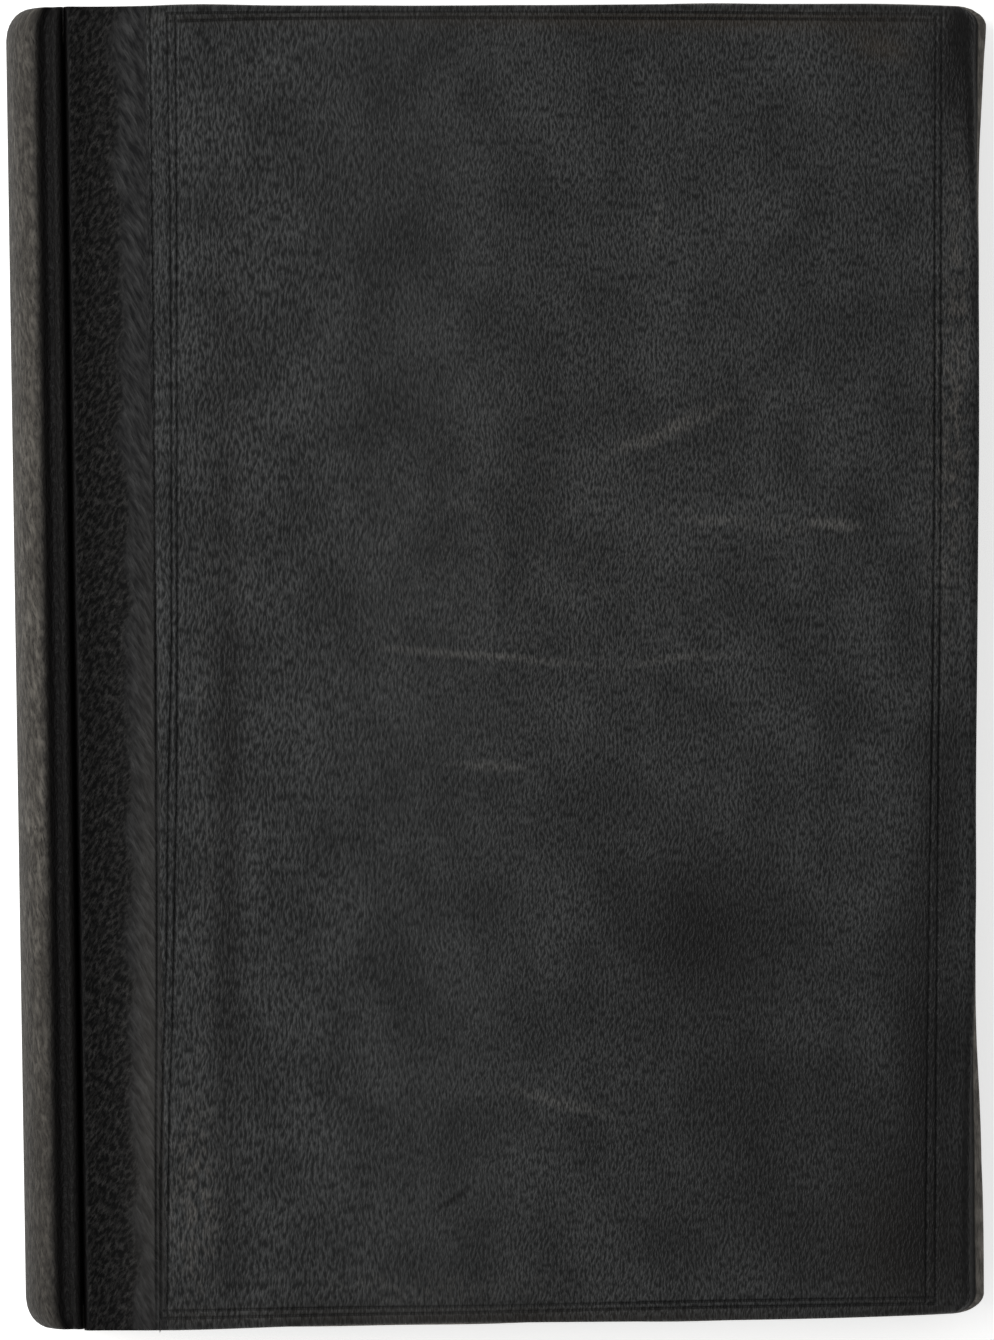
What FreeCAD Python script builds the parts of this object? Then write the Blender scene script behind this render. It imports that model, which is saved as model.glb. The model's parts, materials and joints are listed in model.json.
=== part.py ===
import FreeCAD, Part
import math
import os
import Sketcher

# An old leather-bound book, closed and lying on its back cover.
# +Z goes up through the thickness, +Y goes to the head, and the spine is on the -X side.
# The origin is at the middle of the footprint, on the surface that the back cover lies on.
# The binding leather is bent in the two joints, so it is split there along the line that flexes.

DRIVING = {
    # The closed book
    "thickness": 32.0,
    "cover_length": 205.0,
    "cover_width": 139.3,
    "corner_flare": 1.4,
    "tail_rise": 3.1,
    "corner_radius": 5.0,
    "lean": 0.9,
    # The layers of a cover, from the outside in
    "leather": 1.0,
    "board": 1.8,
    "lining": 0.35,
    "paper": 0.15,
    # The turned-down edges and the turn-ins
    "flap_depth": 8.0,
    "flap_leather": 1.6,
    "edge_roll": 1.4,
    "turnin_width": 12.0,
    "paper_margin": 4.0,
    # The groove between the joint and the board
    "joint_gap": 0.35,
    "board_start": 12.0,
    "lip_drop": 1.2,
    "groove_low": 6.6,
    "groove_drop": 2.15,
    # The blind lines pressed into the leather
    "line_width": 0.4,
    "line_depth": 0.25,
    "line_inset": 2.0,
    "line_pitch": 0.75,
    "line_fore_inset": 5.9,
    "line_joint_inset": 2.7,
    # The spine leather
    "spine_short": 0.4,
    "spine_reach": 9.0,
    "spine_bow": 1.6,
    "spine_turn": 5.0,
    "ridge_offset": 1.45,
    "ridge_drop": 0.7,
    "shoulder_offset": 4.6,
    "shoulder_drop": 0.9,
    "seat_gap": 0.2,
    "cap_reach": 3.5,
    "cap_wall": 1.2,
    "cap_round": 4.5,
    "inlay": 0.6,
    "hollow": 0.3,
    # The leaves
    "block_gap": 0.3,
    "fore_square": 5.3,
    "head_square": 5.0,
    "tail_square": 3.6,
    "fore_hollow": 3.5,
    "backing_rise": 0.95,
    "backing_reach": 2.4,
    "backing_foot": 0.3,
    # Sewing tapes, mull and endbands
    "tape": 0.2,
    "tape_sink": 0.04,
    "tape_width": 12.0,
    "tape_pitch": 44.0,
    "slip_reach": 20.0,
    "mull_reach": 25.0,
    "band_depth": 1.8,
    "band_height": 1.6,
    "band_round": 0.6,
    "band_short": 2.5,
}
TAPES = 4

doc = FreeCAD.newDocument("book")
sizes = doc.addObject("Spreadsheet::Sheet", "Sizes")
for row, (alias, number) in enumerate(DRIVING.items(), start=1):
    sizes.set(f"A{row}", alias)
    sizes.set(f"B{row}", str(number))
    sizes.setAlias(f"B{row}", alias)
doc.recompute()


def size(alias):
    """The expression that reads one driving dimension."""
    return f"Sizes.{alias}"


HALF = "(Sizes.thickness / 2)"
HALF_LENGTH = "(Sizes.cover_length / 2)"
FORE = "(Sizes.cover_width + Sizes.corner_flare)"
CLEAR = "(Sizes.joint_gap / 2)"
UNDER_BOARD = "(Sizes.leather + Sizes.board)"
UNDER_LINING = f"({UNDER_BOARD} + Sizes.lining)"
UNDER_PAPER = f"({UNDER_LINING} + Sizes.paper)"

# Every piece is drawn with x = 0 on the joint, which is this far left of the book's middle.
# The lean carries the head of the spine, below its round corner, furthest to the left.
SPINE_LENGTH = "(Sizes.cover_length - Sizes.spine_short)"
SPINE_SWING = f"({SPINE_LENGTH} / 2 - Sizes.cap_round)"
JOINT_X = (
    f"(-({FORE} - Sizes.spine_reach * cos(Sizes.lean * 1 deg)"
    f" - {SPINE_SWING} * sin(Sizes.lean * 1 deg)) / 2)"
)

pieces = []


def new_body(name):
    body = doc.addObject("PartDesign::Body", name)
    body.Label = name
    pieces.append(body)
    return body


def place_cover_piece(body):
    body.setExpression("Placement.Base.x", JOINT_X)


def place_block_piece(body):
    """The leaves and the spine have slumped, so they lean from the covers about the joint."""
    body.setExpression("Placement.Base.x", JOINT_X)
    body.setExpression("Placement.Base.z", HALF)
    body.setExpression("Placement.Rotation.Angle", size("lean"))


def new_sketch(body, name, role, offset):
    """A sketch on one of the body's origin planes, moved along the plane's normal."""
    sketch = body.newObject("Sketcher::SketchObject", name)
    for feature in body.Origin.OriginFeatures:
        if feature.Role == role:
            sketch.AttachmentSupport = [(feature, "")]
    sketch.MapMode = "FlatFace"
    sketch.setExpression("AttachmentOffset.Base.z", offset)
    return sketch


def number_of(sketch, expression):
    value = sketch.evalExpression(expression)
    return float(getattr(value, "Value", value))


def pin(sketch, geometry, point, place):
    """Holds one point of the sketch at a place that is given by two expressions."""
    for kind, expression in zip(("DistanceX", "DistanceY"), place):
        value = number_of(sketch, expression)
        index = sketch.addConstraint(Sketcher.Constraint(kind, -1, 1, geometry, point, value))
        sketch.setExpression(f"Constraints[{index}]", expression)


def add_arc(sketch, start, through, end):
    """Adds an arc that passes a named point, and returns its index and its two end numbers."""
    circle = Part.Arc(start, through, end).toShape().Curve
    centre = circle.Center
    turn = (through - start).cross(end - through).z
    first, last = (start, end) if turn > 0 else (end, start)
    angles = [math.atan2(spot.y - centre.y, spot.x - centre.x) for spot in (first, last)]
    if angles[1] < angles[0]:
        angles[1] += 2 * math.pi
    flat = Part.Circle(centre, FreeCAD.Vector(0, 0, 1), circle.Radius)
    index = sketch.addGeometry(Part.ArcOfCircle(flat, *angles))
    return index, ((1, 2) if turn > 0 else (2, 1))


def draw(sketch, corners):
    """A closed outline of corners (x, y), or (x, y, through) where an arc leaves the corner."""
    spots = [FreeCAD.Vector(number_of(sketch, c[0]), number_of(sketch, c[1]), 0) for c in corners]
    sides = []
    for i, corner in enumerate(corners):
        start, end = spots[i], spots[(i + 1) % len(corners)]
        if len(corner) == 2:
            index = sketch.addGeometry(Part.LineSegment(start, end))
            sides.append((index, (1, 2)))
        else:
            middle = corner[2]
            through = FreeCAD.Vector(number_of(sketch, middle[0]), number_of(sketch, middle[1]), 0)
            index, ends = add_arc(sketch, start, through, end)
            sides.append((index, ends))
            dot = sketch.addGeometry(Part.Point(through), True)
            pin(sketch, dot, 1, middle)
            sketch.addConstraint(Sketcher.Constraint("PointOnObject", dot, 1, index))
    for i, corner in enumerate(corners):
        index, ends = sides[i]
        before, before_ends = sides[i - 1]
        sketch.addConstraint(Sketcher.Constraint("Coincident", before, before_ends[1], index, ends[0]))
        pin(sketch, index, ends[0], corner[:2])


def extrude(body, kind, name, sketch, length, reverse=False, both=False):
    """A Pad or a Pocket of one sketch."""
    feature = body.newObject(f"PartDesign::{kind}", name)
    feature.Profile = sketch
    feature.Reversed = reverse
    if both:
        feature.SideType = "Symmetric"
    feature.setExpression("Length", length)
    doc.recompute()
    body.Tip = feature
    return feature


def round_edges(body, name, radius, chosen):
    """Fillets the edges of the body's last feature for which chosen(edge) is true."""
    base = body.Tip
    names = [f"Edge{i}" for i, edge in enumerate(base.Shape.Edges, start=1) if chosen(edge)]
    fillet = body.newObject("PartDesign::Fillet", name)
    fillet.Base = (base, names)
    fillet.setExpression("Radius", radius)
    doc.recompute()
    body.Tip = fillet
    return fillet


def repeat_along(body, name, feature, axis, pitch, count):
    """Repeats a feature in a row along one of the body's own axes."""
    pattern = body.newObject("PartDesign::LinearPattern", name)
    pattern.Originals = [feature]
    for origin_feature in body.Origin.OriginFeatures:
        if origin_feature.Role == axis:
            pattern.Direction = (origin_feature, [""])
    pattern.setExpression("Length", f"{pitch} * {count - 1}")
    pattern.Occurrences = count
    body.Tip = pattern
    doc.recompute()
    return pattern


# The covers. A depth is measured from a cover's outer face, so both covers share each recipe.


class Side:
    def __init__(self, name):
        self.name = name
        self.front = name == "front"

    def level(self, depth):
        return f"(Sizes.thickness - {depth})" if self.front else f"{depth}"

    def pad(self, body, name, sketch, length):
        return extrude(body, "Pad", name, sketch, length, reverse=self.front)

    def pocket(self, body, name, sketch, length):
        return extrude(body, "Pocket", name, sketch, length, reverse=not self.front)


def joint_line(y, clearance):
    """The x of the leaning joint at height y, plus a clearance."""
    return f"({clearance} - ({y}) * tan(Sizes.lean * 1 deg))"


def tail_line(x, inset):
    """The y of the tail edge, which rises towards the fore edge, at one x."""
    return f"(-{HALF_LENGTH} + Sizes.tail_rise * ({x}) / {FORE} + {inset})"


def head_line(inset):
    return f"({HALF_LENGTH} - {inset})"


def draw_cover(sketch, inset, left_head, left_tail, tail_from=None):
    """The cover's plan, drawn in by an inset. Its fore edge bows in between flared corners."""
    right = f"({FORE} - {inset})"
    draw(sketch, [
        (left_head, head_line(inset)),
        (left_tail, tail_line(tail_from or left_tail, inset)),
        (right, tail_line(right, inset), (f"(Sizes.cover_width - {inset})", "0")),
        (right, head_line(inset)),
    ])


def at_fore_corner(edge):
    """True for the upright edges at the two outer corners."""
    low, high = edge.Vertexes[0].Point, edge.Vertexes[-1].Point
    upright = abs(low.x - high.x) < 0.01 and abs(low.y - high.y) < 0.01
    middle = DRIVING["cover_width"] / 2
    return upright and low.x > middle


def add_leather(side):
    body = new_body(f"{side.name}_leather")
    left = [joint_line(y, CLEAR) for y in (HALF_LENGTH, f"-{HALF_LENGTH}")]
    plan = new_sketch(body, f"{side.name}_plan", "XY_Plane", side.level("0"))
    draw_cover(plan, "0", left[0], left[1])
    side.pad(body, f"{side.name}_slab", plan, size("flap_depth"))
    round_edges(body, f"{side.name}_corners", size("corner_radius"), at_fore_corner)

    # The cover's edges roll over where they turn down.
    face = number_of(plan, side.level("0"))

    def at_turned_edge(edge):
        on_face = all(abs(vertex.Point.z - face) < 0.01 for vertex in edge.Vertexes)
        return on_face and edge.BoundBox.XMax > DRIVING["cover_width"] / 4

    round_edges(body, f"{side.name}_roll", size("edge_roll"), at_turned_edge)

    # The groove between the joint and the board runs along the board's edge.
    section = new_sketch(body, f"{side.name}_groove_section", "XZ_Plane", "0")
    start = f"(-{HALF_LENGTH} * tan(Sizes.lean * 1 deg) - Sizes.joint_gap)"
    draw(section, [
        (start, side.level(size("lip_drop")), (size("groove_low"), side.level(size("groove_drop")))),
        (size("board_start"), side.level("0")),
        (size("board_start"), side.level("-1 * Sizes.leather")),
        (start, side.level("-1 * Sizes.leather")),
    ])
    width = "(Sizes.cover_length + 2 * Sizes.board_start)"
    extrude(body, "Pocket", f"{side.name}_groove", section, width, both=True)

    # Below the joint there is no flap, and the flaps start with a slant at the board's edge.
    section = new_sketch(body, f"{side.name}_joint_section", "XZ_Plane", "0")
    reach = "(Sizes.flap_depth + Sizes.leather)"
    draw(section, [
        ("-1 * Sizes.board_start", side.level(UNDER_LINING)),
        (size("board_start"), side.level(UNDER_LINING)),
        (f"(Sizes.board_start + {reach})", side.level(f"({UNDER_LINING} + {reach})")),
        ("-1 * Sizes.board_start", side.level(f"({UNDER_LINING} + {reach})")),
    ])
    extrude(body, "Pocket", f"{side.name}_joint_clearing", section, width, both=True)

    # The flaps stand round a tray that holds the edges of the leaves.
    tray = new_sketch(body, f"{side.name}_tray_plan", "XY_Plane", side.level(UNDER_LINING))
    draw_cover(tray, size("flap_leather"), "-1 * Sizes.board_start", "-1 * Sizes.board_start")
    side.pocket(body, f"{side.name}_tray", tray, size("flap_depth"))

    # The turn-ins frame an opening for the lining, the mull and the tape slips.
    opening = new_sketch(body, f"{side.name}_turnin_plan", "XY_Plane", side.level(UNDER_BOARD))
    draw_cover(opening, size("turnin_width"), "-1 * Sizes.board_start", "-1 * Sizes.board_start")
    side.pocket(body, f"{side.name}_turnins", opening, size("lining"))

    # The board lies inside the leather.
    cavity = new_sketch(body, f"{side.name}_board_space_plan", "XY_Plane", side.level(size("leather")))
    draw_cover(cavity, size("flap_leather"), size("board_start"), size("board_start"))
    side.pocket(body, f"{side.name}_board_space", cavity, size("board"))

    add_blind_lines(side, body)
    place_cover_piece(body)


def add_blind_lines(side, body):
    """A double frame of blind lines, and one line along the joint from head to tail."""
    lines = new_sketch(body, f"{side.name}_line_plan", "XY_Plane", side.level("0"))
    for step in range(2):
        for edge in range(2):
            drift = f"({step} * Sizes.line_pitch + {edge} * Sizes.line_width)"
            left = f"(Sizes.board_start + Sizes.line_joint_inset + {drift})"
            right = f"(Sizes.cover_width - Sizes.line_fore_inset - {drift})"
            inset = f"(Sizes.line_inset + {drift})"
            draw(lines, [
                (left, head_line(inset)),
                (left, tail_line(left, inset)),
                (right, tail_line(right, inset)),
                (right, head_line(inset)),
            ])
    near = size("board_start")
    far = "(Sizes.board_start + Sizes.line_width)"
    draw(lines, [
        (near, head_line(size("edge_roll"))),
        (near, tail_line(near, size("edge_roll"))),
        (far, tail_line(far, size("edge_roll"))),
        (far, head_line(size("edge_roll"))),
    ])
    side.pocket(body, f"{side.name}_lines", lines, size("line_depth"))


def add_board(side):
    body = new_body(f"{side.name}_board")
    plan = new_sketch(body, f"{side.name}_board_plan", "XY_Plane", side.level(size("leather")))
    draw_cover(plan, size("flap_leather"), size("board_start"), size("board_start"))
    side.pad(body, f"{side.name}_board_sheet", plan, size("board"))
    place_cover_piece(body)


LINING_HEAD = head_line(size("turnin_width"))
MULL_END = "(Sizes.board_start + Sizes.mull_reach)"


def add_mull_flange(side):
    """The mull's flange is glued to the board, and beds round the tape slips."""
    body = new_body(f"{side.name}_mull_flange")
    plan = new_sketch(body, f"{side.name}_mull_plan", "XY_Plane", side.level(UNDER_BOARD))
    tail = f"-{LINING_HEAD}"
    left_tail = joint_line(tail, CLEAR)
    draw(plan, [
        (joint_line(LINING_HEAD, CLEAR), LINING_HEAD),
        (left_tail, tail_line(left_tail, size("turnin_width"))),
        (MULL_END, tail_line(MULL_END, size("turnin_width"))),
        (MULL_END, LINING_HEAD),
    ])
    side.pad(body, f"{side.name}_mull_sheet", plan, size("lining"))
    slot = new_sketch(body, f"{side.name}_slot_plan", "XY_Plane", side.level(UNDER_BOARD))
    centre = f"(-{TAPES - 1} / 2 * Sizes.tape_pitch)"
    draw_slip(slot, centre, "-1 * Sizes.board_start")
    cut = side.pocket(body, f"{side.name}_slot", slot, size("tape"))
    repeat_along(body, f"{side.name}_slots", cut, "Y_Axis", "Sizes.tape_pitch", TAPES)
    place_cover_piece(body)


def draw_slip(sketch, centre, left=None):
    """One tape's strip, from the joint to its end on the board."""
    low = f"({centre} - Sizes.tape_width / 2)"
    high = f"({centre} + Sizes.tape_width / 2)"
    end = "(Sizes.board_start + Sizes.slip_reach)"
    draw(sketch, [
        (left or joint_line(high, CLEAR), high),
        (left or joint_line(low, CLEAR), low),
        (end, low),
        (end, high),
    ])


def tape_centre(index):
    return f"(({index} - {TAPES - 1} / 2) * Sizes.tape_pitch)"


def add_tape_slips(side):
    for index in range(TAPES):
        body = new_body(f"{side.name}_tape_slip_{index + 1}")
        plan = new_sketch(body, f"{body.Name}_plan", "XY_Plane", side.level(UNDER_BOARD))
        draw_slip(plan, tape_centre(index))
        side.pad(body, f"{body.Name}_strip", plan, size("tape"))
        place_cover_piece(body)


def add_infill(side):
    """A sheet that fills the board's inside level with the turn-ins and the mull."""
    body = new_body(f"{side.name}_infill")
    plan = new_sketch(body, f"{side.name}_infill_plan", "XY_Plane", side.level(UNDER_BOARD))
    draw_cover(plan, size("turnin_width"), MULL_END, MULL_END)
    side.pad(body, f"{side.name}_infill_sheet", plan, size("lining"))
    place_cover_piece(body)


def add_pastedown(side):
    body = new_body(f"{side.name}_pastedown")
    inset = "(Sizes.flap_leather + Sizes.paper_margin)"
    plan = new_sketch(body, f"{side.name}_pastedown_plan", "XY_Plane", side.level(UNDER_LINING))
    head = head_line(inset)
    draw_cover(plan, inset, joint_line(head, CLEAR), joint_line(f"-{head}", CLEAR))
    side.pad(body, f"{side.name}_pastedown_sheet", plan, size("paper"))
    place_cover_piece(body)


# The leaves, drawn in a section that is the same above and below the middle.

BLOCK_HALF = f"({HALF} - {UNDER_PAPER} - Sizes.block_gap)"
LEAF_HALF = f"({BLOCK_HALF} - Sizes.paper)"
BACK_OF_LEAVES = "(Sizes.spine_reach - Sizes.leather - Sizes.inlay - Sizes.hollow - Sizes.lining)"
BACKING_TIP = f"({LEAF_HALF} + Sizes.backing_rise)"
FORE_OF_LEAVES = "(Sizes.cover_width - Sizes.fore_square)"
LEAF_HEAD = f"({HALF_LENGTH} - Sizes.head_square)"
LEAF_TAIL = f"(-{HALF_LENGTH} + Sizes.tail_square)"
LEAF_LENGTH = f"({LEAF_HEAD} - {LEAF_TAIL})"
LEAF_MIDDLE = f"(({LEAF_HEAD} + {LEAF_TAIL}) / 2)"
TAPE_TIP = f"({BACKING_TIP} - Sizes.tape_sink)"
TAPE_REACH = f"({TAPE_TIP} - Sizes.tape / 2)"


def section_sketch(body, name, y):
    """A sketch across the book at one y. The XZ plane's normal points along -Y."""
    return new_sketch(body, name, "XZ_Plane", f"-({y})")


def arc_band(sketch, tip_x, tip_z, middle, thick, reach=None):
    """A crescent of one thickness. Its outer arc passes two tips and a middle point."""
    draw(sketch, [
        (f"-{tip_x}", f"{tip_z}", (f"-{middle}", "0")),
        (f"-{tip_x}", f"-{tip_z}"),
        (f"(-{tip_x} + {thick})", f"-{reach or tip_z}", (f"(-{middle} + {thick})", "0")),
        (f"(-{tip_x} + {thick})", f"{reach or tip_z}"),
    ])


def add_text_block():
    body = new_body("text_block")
    section = section_sketch(body, "leaves_section", LEAF_MIDDLE)
    fore_middle = f"({FORE_OF_LEAVES} - Sizes.fore_hollow)"
    draw(section, [
        (f"-{size('backing_reach')}", BACKING_TIP, (f"-{BACK_OF_LEAVES}", "0")),
        (f"-{size('backing_reach')}", f"-{BACKING_TIP}"),
        (size("backing_foot"), f"-{LEAF_HALF}"),
        (FORE_OF_LEAVES, f"-{LEAF_HALF}", (fore_middle, "0")),
        (FORE_OF_LEAVES, LEAF_HALF),
        (size("backing_foot"), LEAF_HALF),
    ])
    extrude(body, "Pad", "leaves", section, LEAF_LENGTH, both=True)
    bed = section_sketch(body, "tape_bed_section", tape_centre(0))
    arc_band(bed, size("backing_reach"), BACKING_TIP, BACK_OF_LEAVES,
             "(Sizes.tape + Sizes.tape_sink)", reach=TAPE_REACH)
    cut = extrude(body, "Pocket", "tape_bed", bed, size("tape_width"), both=True)
    repeat_along(body, "tape_beds", cut, "Y_Axis", "Sizes.tape_pitch", TAPES)
    place_block_piece(body)


def add_flyleaf(name, upper):
    body = new_body(name)
    level = LEAF_HALF if upper else f"-{LEAF_HALF}"
    plan = new_sketch(body, f"{name}_plan", "XY_Plane", level)
    draw(plan, [
        (size("backing_foot"), LEAF_HEAD),
        (size("backing_foot"), LEAF_TAIL),
        (FORE_OF_LEAVES, LEAF_TAIL),
        (FORE_OF_LEAVES, LEAF_HEAD),
    ])
    extrude(body, "Pad", f"{name}_sheet", plan, size("paper"), reverse=not upper)
    place_block_piece(body)


def add_sewing_tapes():
    for index in range(TAPES):
        body = new_body(f"sewing_tape_{index + 1}")
        section = section_sketch(body, f"{body.Name}_section", tape_centre(index))
        tip = "(Sizes.backing_reach - Sizes.tape_sink)"
        middle = f"({BACK_OF_LEAVES} - Sizes.tape_sink)"
        arc_band(section, tip, TAPE_TIP, middle, size("tape"), reach=TAPE_REACH)
        extrude(body, "Pad", f"{body.Name}_strip", section, size("tape_width"), both=True)
        place_block_piece(body)


def add_spine_mull():
    """Open cloth over the back of the leaves, with a wing down each backing shoulder."""
    body = new_body("spine_mull")
    section = section_sketch(body, "mull_section", LEAF_MIDDLE)
    tip = size("backing_reach")
    wing = f"(Sizes.backing_rise * (Sizes.backing_foot + {CLEAR}) / (Sizes.backing_foot + {tip}))"
    wing_low = f"({LEAF_HALF} + {wing})"
    wing_high = f"({wing_low} + Sizes.lining)"
    tip_high = f"({BACKING_TIP} + Sizes.lining)"
    middle = f"({BACK_OF_LEAVES} + Sizes.lining)"
    draw(section, [
        (f"-{tip}", tip_high, (f"-{middle}", "0")),
        (f"-{tip}", f"-{tip_high}"),
        (f"-{CLEAR}", f"-{wing_high}"),
        (f"-{CLEAR}", f"-{wing_low}"),
        (f"-{tip}", f"-{BACKING_TIP}", (f"-{BACK_OF_LEAVES}", "0")),
        (f"-{tip}", BACKING_TIP),
        (f"-{CLEAR}", wing_low),
        (f"-{CLEAR}", wing_high),
    ])
    length = f"({LEAF_LENGTH} - Sizes.turnin_width)"
    extrude(body, "Pad", "mull_cloth", section, length, both=True)
    place_block_piece(body)


def add_endband(name, y, outward):
    """A sewn band that stands on the edge of the leaves at the head or the tail."""
    body = new_body(name)
    section = section_sketch(body, f"{name}_section", y)
    short = f"({BACKING_TIP} - Sizes.band_short)"
    arc_band(section, f"({size('backing_reach')} + Sizes.band_short / 2)", short,
             BACK_OF_LEAVES, size("band_depth"))
    extrude(body, "Pad", f"{name}_core", section, size("band_height"), reverse=outward)
    end = number_of(section, f"{y} + {'' if outward else '-'}Sizes.band_height")

    def on_top(edge):
        arc = edge.Curve.TypeId == "Part::GeomCircle"
        return arc and all(abs(vertex.Point.y - end) < 0.01 for vertex in edge.Vertexes)

    round_edges(body, f"{name}_bead", size("band_round"), on_top)
    place_block_piece(body)


RIDGE_TOP = f"({HALF} - Sizes.ridge_drop)"
SHOULDER_TOP = f"({HALF} - Sizes.shoulder_drop)"
TURN_Z = f"({HALF} - Sizes.spine_turn)"
TURN_X = "(Sizes.spine_reach - Sizes.spine_bow)"
SEAT = f"({LEAF_HALF} + Sizes.lining + Sizes.seat_gap)"


def half_spine(drop):
    """The spine's corners above its middle, from the crease to the turn, drawn in by drop."""
    ridge = f"(Sizes.ridge_offset + {drop} / 6)"
    shoulder = f"(Sizes.shoulder_offset - {drop} / 5)"
    turn = f"({TURN_X} - {drop})"
    ridge_z = f"({RIDGE_TOP} - {drop})"
    shoulder_z = f"({SHOULDER_TOP} - {drop})"
    turn_z = f"({TURN_Z} - {drop} / 4)"
    dip = (f"(-({ridge} + {shoulder}) / 2)", f"(({ridge_z} + {shoulder_z}) / 2 - Sizes.seat_gap)")
    bulge = (
        f"(-({shoulder} + {turn}) / 2 - ({turn} - {shoulder}) / 4)",
        f"(({shoulder_z} + {turn_z}) / 2 + ({shoulder_z} - {turn_z}) / 5)",
    )
    return [
        (f"(-{ridge})", ridge_z, dip),
        (f"(-{shoulder})", shoulder_z, bulge),
        (f"(-{turn})", turn_z, (f"(-Sizes.spine_reach + {drop})", "0")),
    ]


def mirrored(corners):
    """The same corners below the middle, in the order that carries the outline on."""
    flipped = []
    for i in range(len(corners) - 1, -1, -1):
        x, z = corners[i][0], f"(-1 * {corners[i][1]})"
        if i > 0:
            through = corners[i - 1][2]
            flipped.append((x, z, (through[0], f"(-1 * {through[1]})")))
        else:
            flipped.append((x, z))
    return flipped


def add_spine_leather():
    """The leather round the back, from joint to joint, with a cap over each endband."""
    body = new_body("spine_leather")
    section = section_sketch(body, "spine_section", "0")
    outer = half_spine("0")
    seat_in = f"(-{CLEAR} - Sizes.leather)"
    seat_in_z = f"({SEAT} + 0.4 * Sizes.leather)"
    bend = (f"(-{CLEAR} - Sizes.ridge_offset / 4)", f"({RIDGE_TOP} - 0.7 * Sizes.leather)")
    crease = (f"(-{CLEAR})", SEAT, bend)
    below = mirrored(outer)
    below_crease = (crease[2][0], f"(-1 * {crease[2][1]})")
    below[-1] = (below[-1][0], below[-1][1], below_crease)
    draw(section, [crease] + outer + below + [
        (f"(-{CLEAR})", f"(-1 * {SEAT})"),
        (seat_in, f"(-1 * {seat_in_z})", (f"(-Sizes.spine_reach + Sizes.cap_reach)", "0")),
        (seat_in, seat_in_z),
    ])
    extrude(body, "Pad", "spine_wrap", section, SPINE_LENGTH, both=True)
    hollow = section_sketch(body, "hollow_section", "0")
    inner = half_spine(size("leather"))
    draw(hollow, [(seat_in, seat_in_z)] + inner + mirrored(inner) + [(seat_in, f"(-1 * {seat_in_z})")])
    inside = f"({SPINE_LENGTH} - 2 * Sizes.cap_wall)"
    extrude(body, "Pocket", "spine_hollow", hollow, inside, both=True)
    corners = new_sketch(body, "cap_corner_plan", "XY_Plane", "0")
    for end in ("1", "-1"):
        draw_cap_corner(corners, end)
    extrude(body, "Pocket", "cap_corners", corners, size("thickness"), both=True)
    place_block_piece(body)


def draw_cap_corner(sketch, end):
    """What the round corner of a cap leaves of a square one, seen from above."""
    edge = f"({end} * {SPINE_LENGTH} / 2)"
    back = "(-1 * Sizes.spine_reach)"
    inward = f"({edge} - {end} * Sizes.cap_round)"
    across = f"({back} + Sizes.cap_round)"
    outside = f"({back} - Sizes.cap_round)"
    beyond = f"({edge} + {end} * Sizes.cap_round)"
    bow = "Sizes.cap_round * (1 - sqrt(0.5))"
    draw(sketch, [
        (back, inward, (f"({back} + {bow})", f"({edge} - {end} * {bow})")),
        (across, edge),
        (across, beyond),
        (outside, beyond),
        (outside, inward),
    ])


def add_spine_inlay():
    """A strip of thin card glued to the inside of the spine leather."""
    body = new_body("spine_inlay")
    section = section_sketch(body, "inlay_section", "0")
    turn_x, turn_z, middle = half_spine(size("leather"))[-1]
    draw(section, [
        (turn_x, turn_z, middle),
        (turn_x, f"(-1 * {turn_z})"),
        (f"({turn_x} + Sizes.inlay)", f"(-1 * {turn_z})", (f"({middle[0]} + Sizes.inlay)", "0")),
        (f"({turn_x} + Sizes.inlay)", turn_z),
    ])
    extrude(body, "Pad", "inlay_strip", section, LEAF_LENGTH, both=True)
    place_block_piece(body)


add_text_block()
add_flyleaf("front_flyleaf", True)
add_flyleaf("back_flyleaf", False)
add_sewing_tapes()
add_spine_mull()
add_endband("headband", LEAF_HEAD, True)
add_endband("tailband", LEAF_TAIL, False)
add_spine_inlay()
add_spine_leather()
for cover in (Side("front"), Side("back")):
    add_leather(cover)
    add_board(cover)
    add_mull_flange(cover)
    add_tape_slips(cover)
    add_infill(cover)
    add_pastedown(cover)

doc.recompute()
faults = []
for thing in doc.Objects:
    if "Invalid" in thing.State or "Error" in thing.State:
        faults.append(f"{thing.Label}: {thing.State}")
for piece in pieces:
    if piece.Shape.isNull() or not piece.Shape.isValid() or not piece.Shape.Solids:
        faults.append(f"{piece.Label}: its shape is not a valid solid")
if faults:
    raise RuntimeError("; ".join(faults))

os.makedirs("parts", exist_ok=True)
for piece in pieces:
    box = piece.Shape.BoundBox
    piece.Shape.exportStep(f"parts/{piece.Label}.step")
    print(
        f"{piece.Label}: {len(piece.Shape.Solids)} solid, {piece.Shape.Volume:.0f} mm3,"
        f" x {box.XMin:.2f} to {box.XMax:.2f}, y {box.YMin:.2f} to {box.YMax:.2f},"
        f" z {box.ZMin:.2f} to {box.ZMax:.2f}"
    )
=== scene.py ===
# %% [markdown]
# # An old leather book
#
# The solids give the sizes, the joints and the hidden pieces. This file gives the surfaces: the
# leather skin with its tooled lines and its worn edges, the leaves, the endpapers and the bands.
# Each step says what the real piece is, how it could be made, and why this way was chosen.

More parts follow.
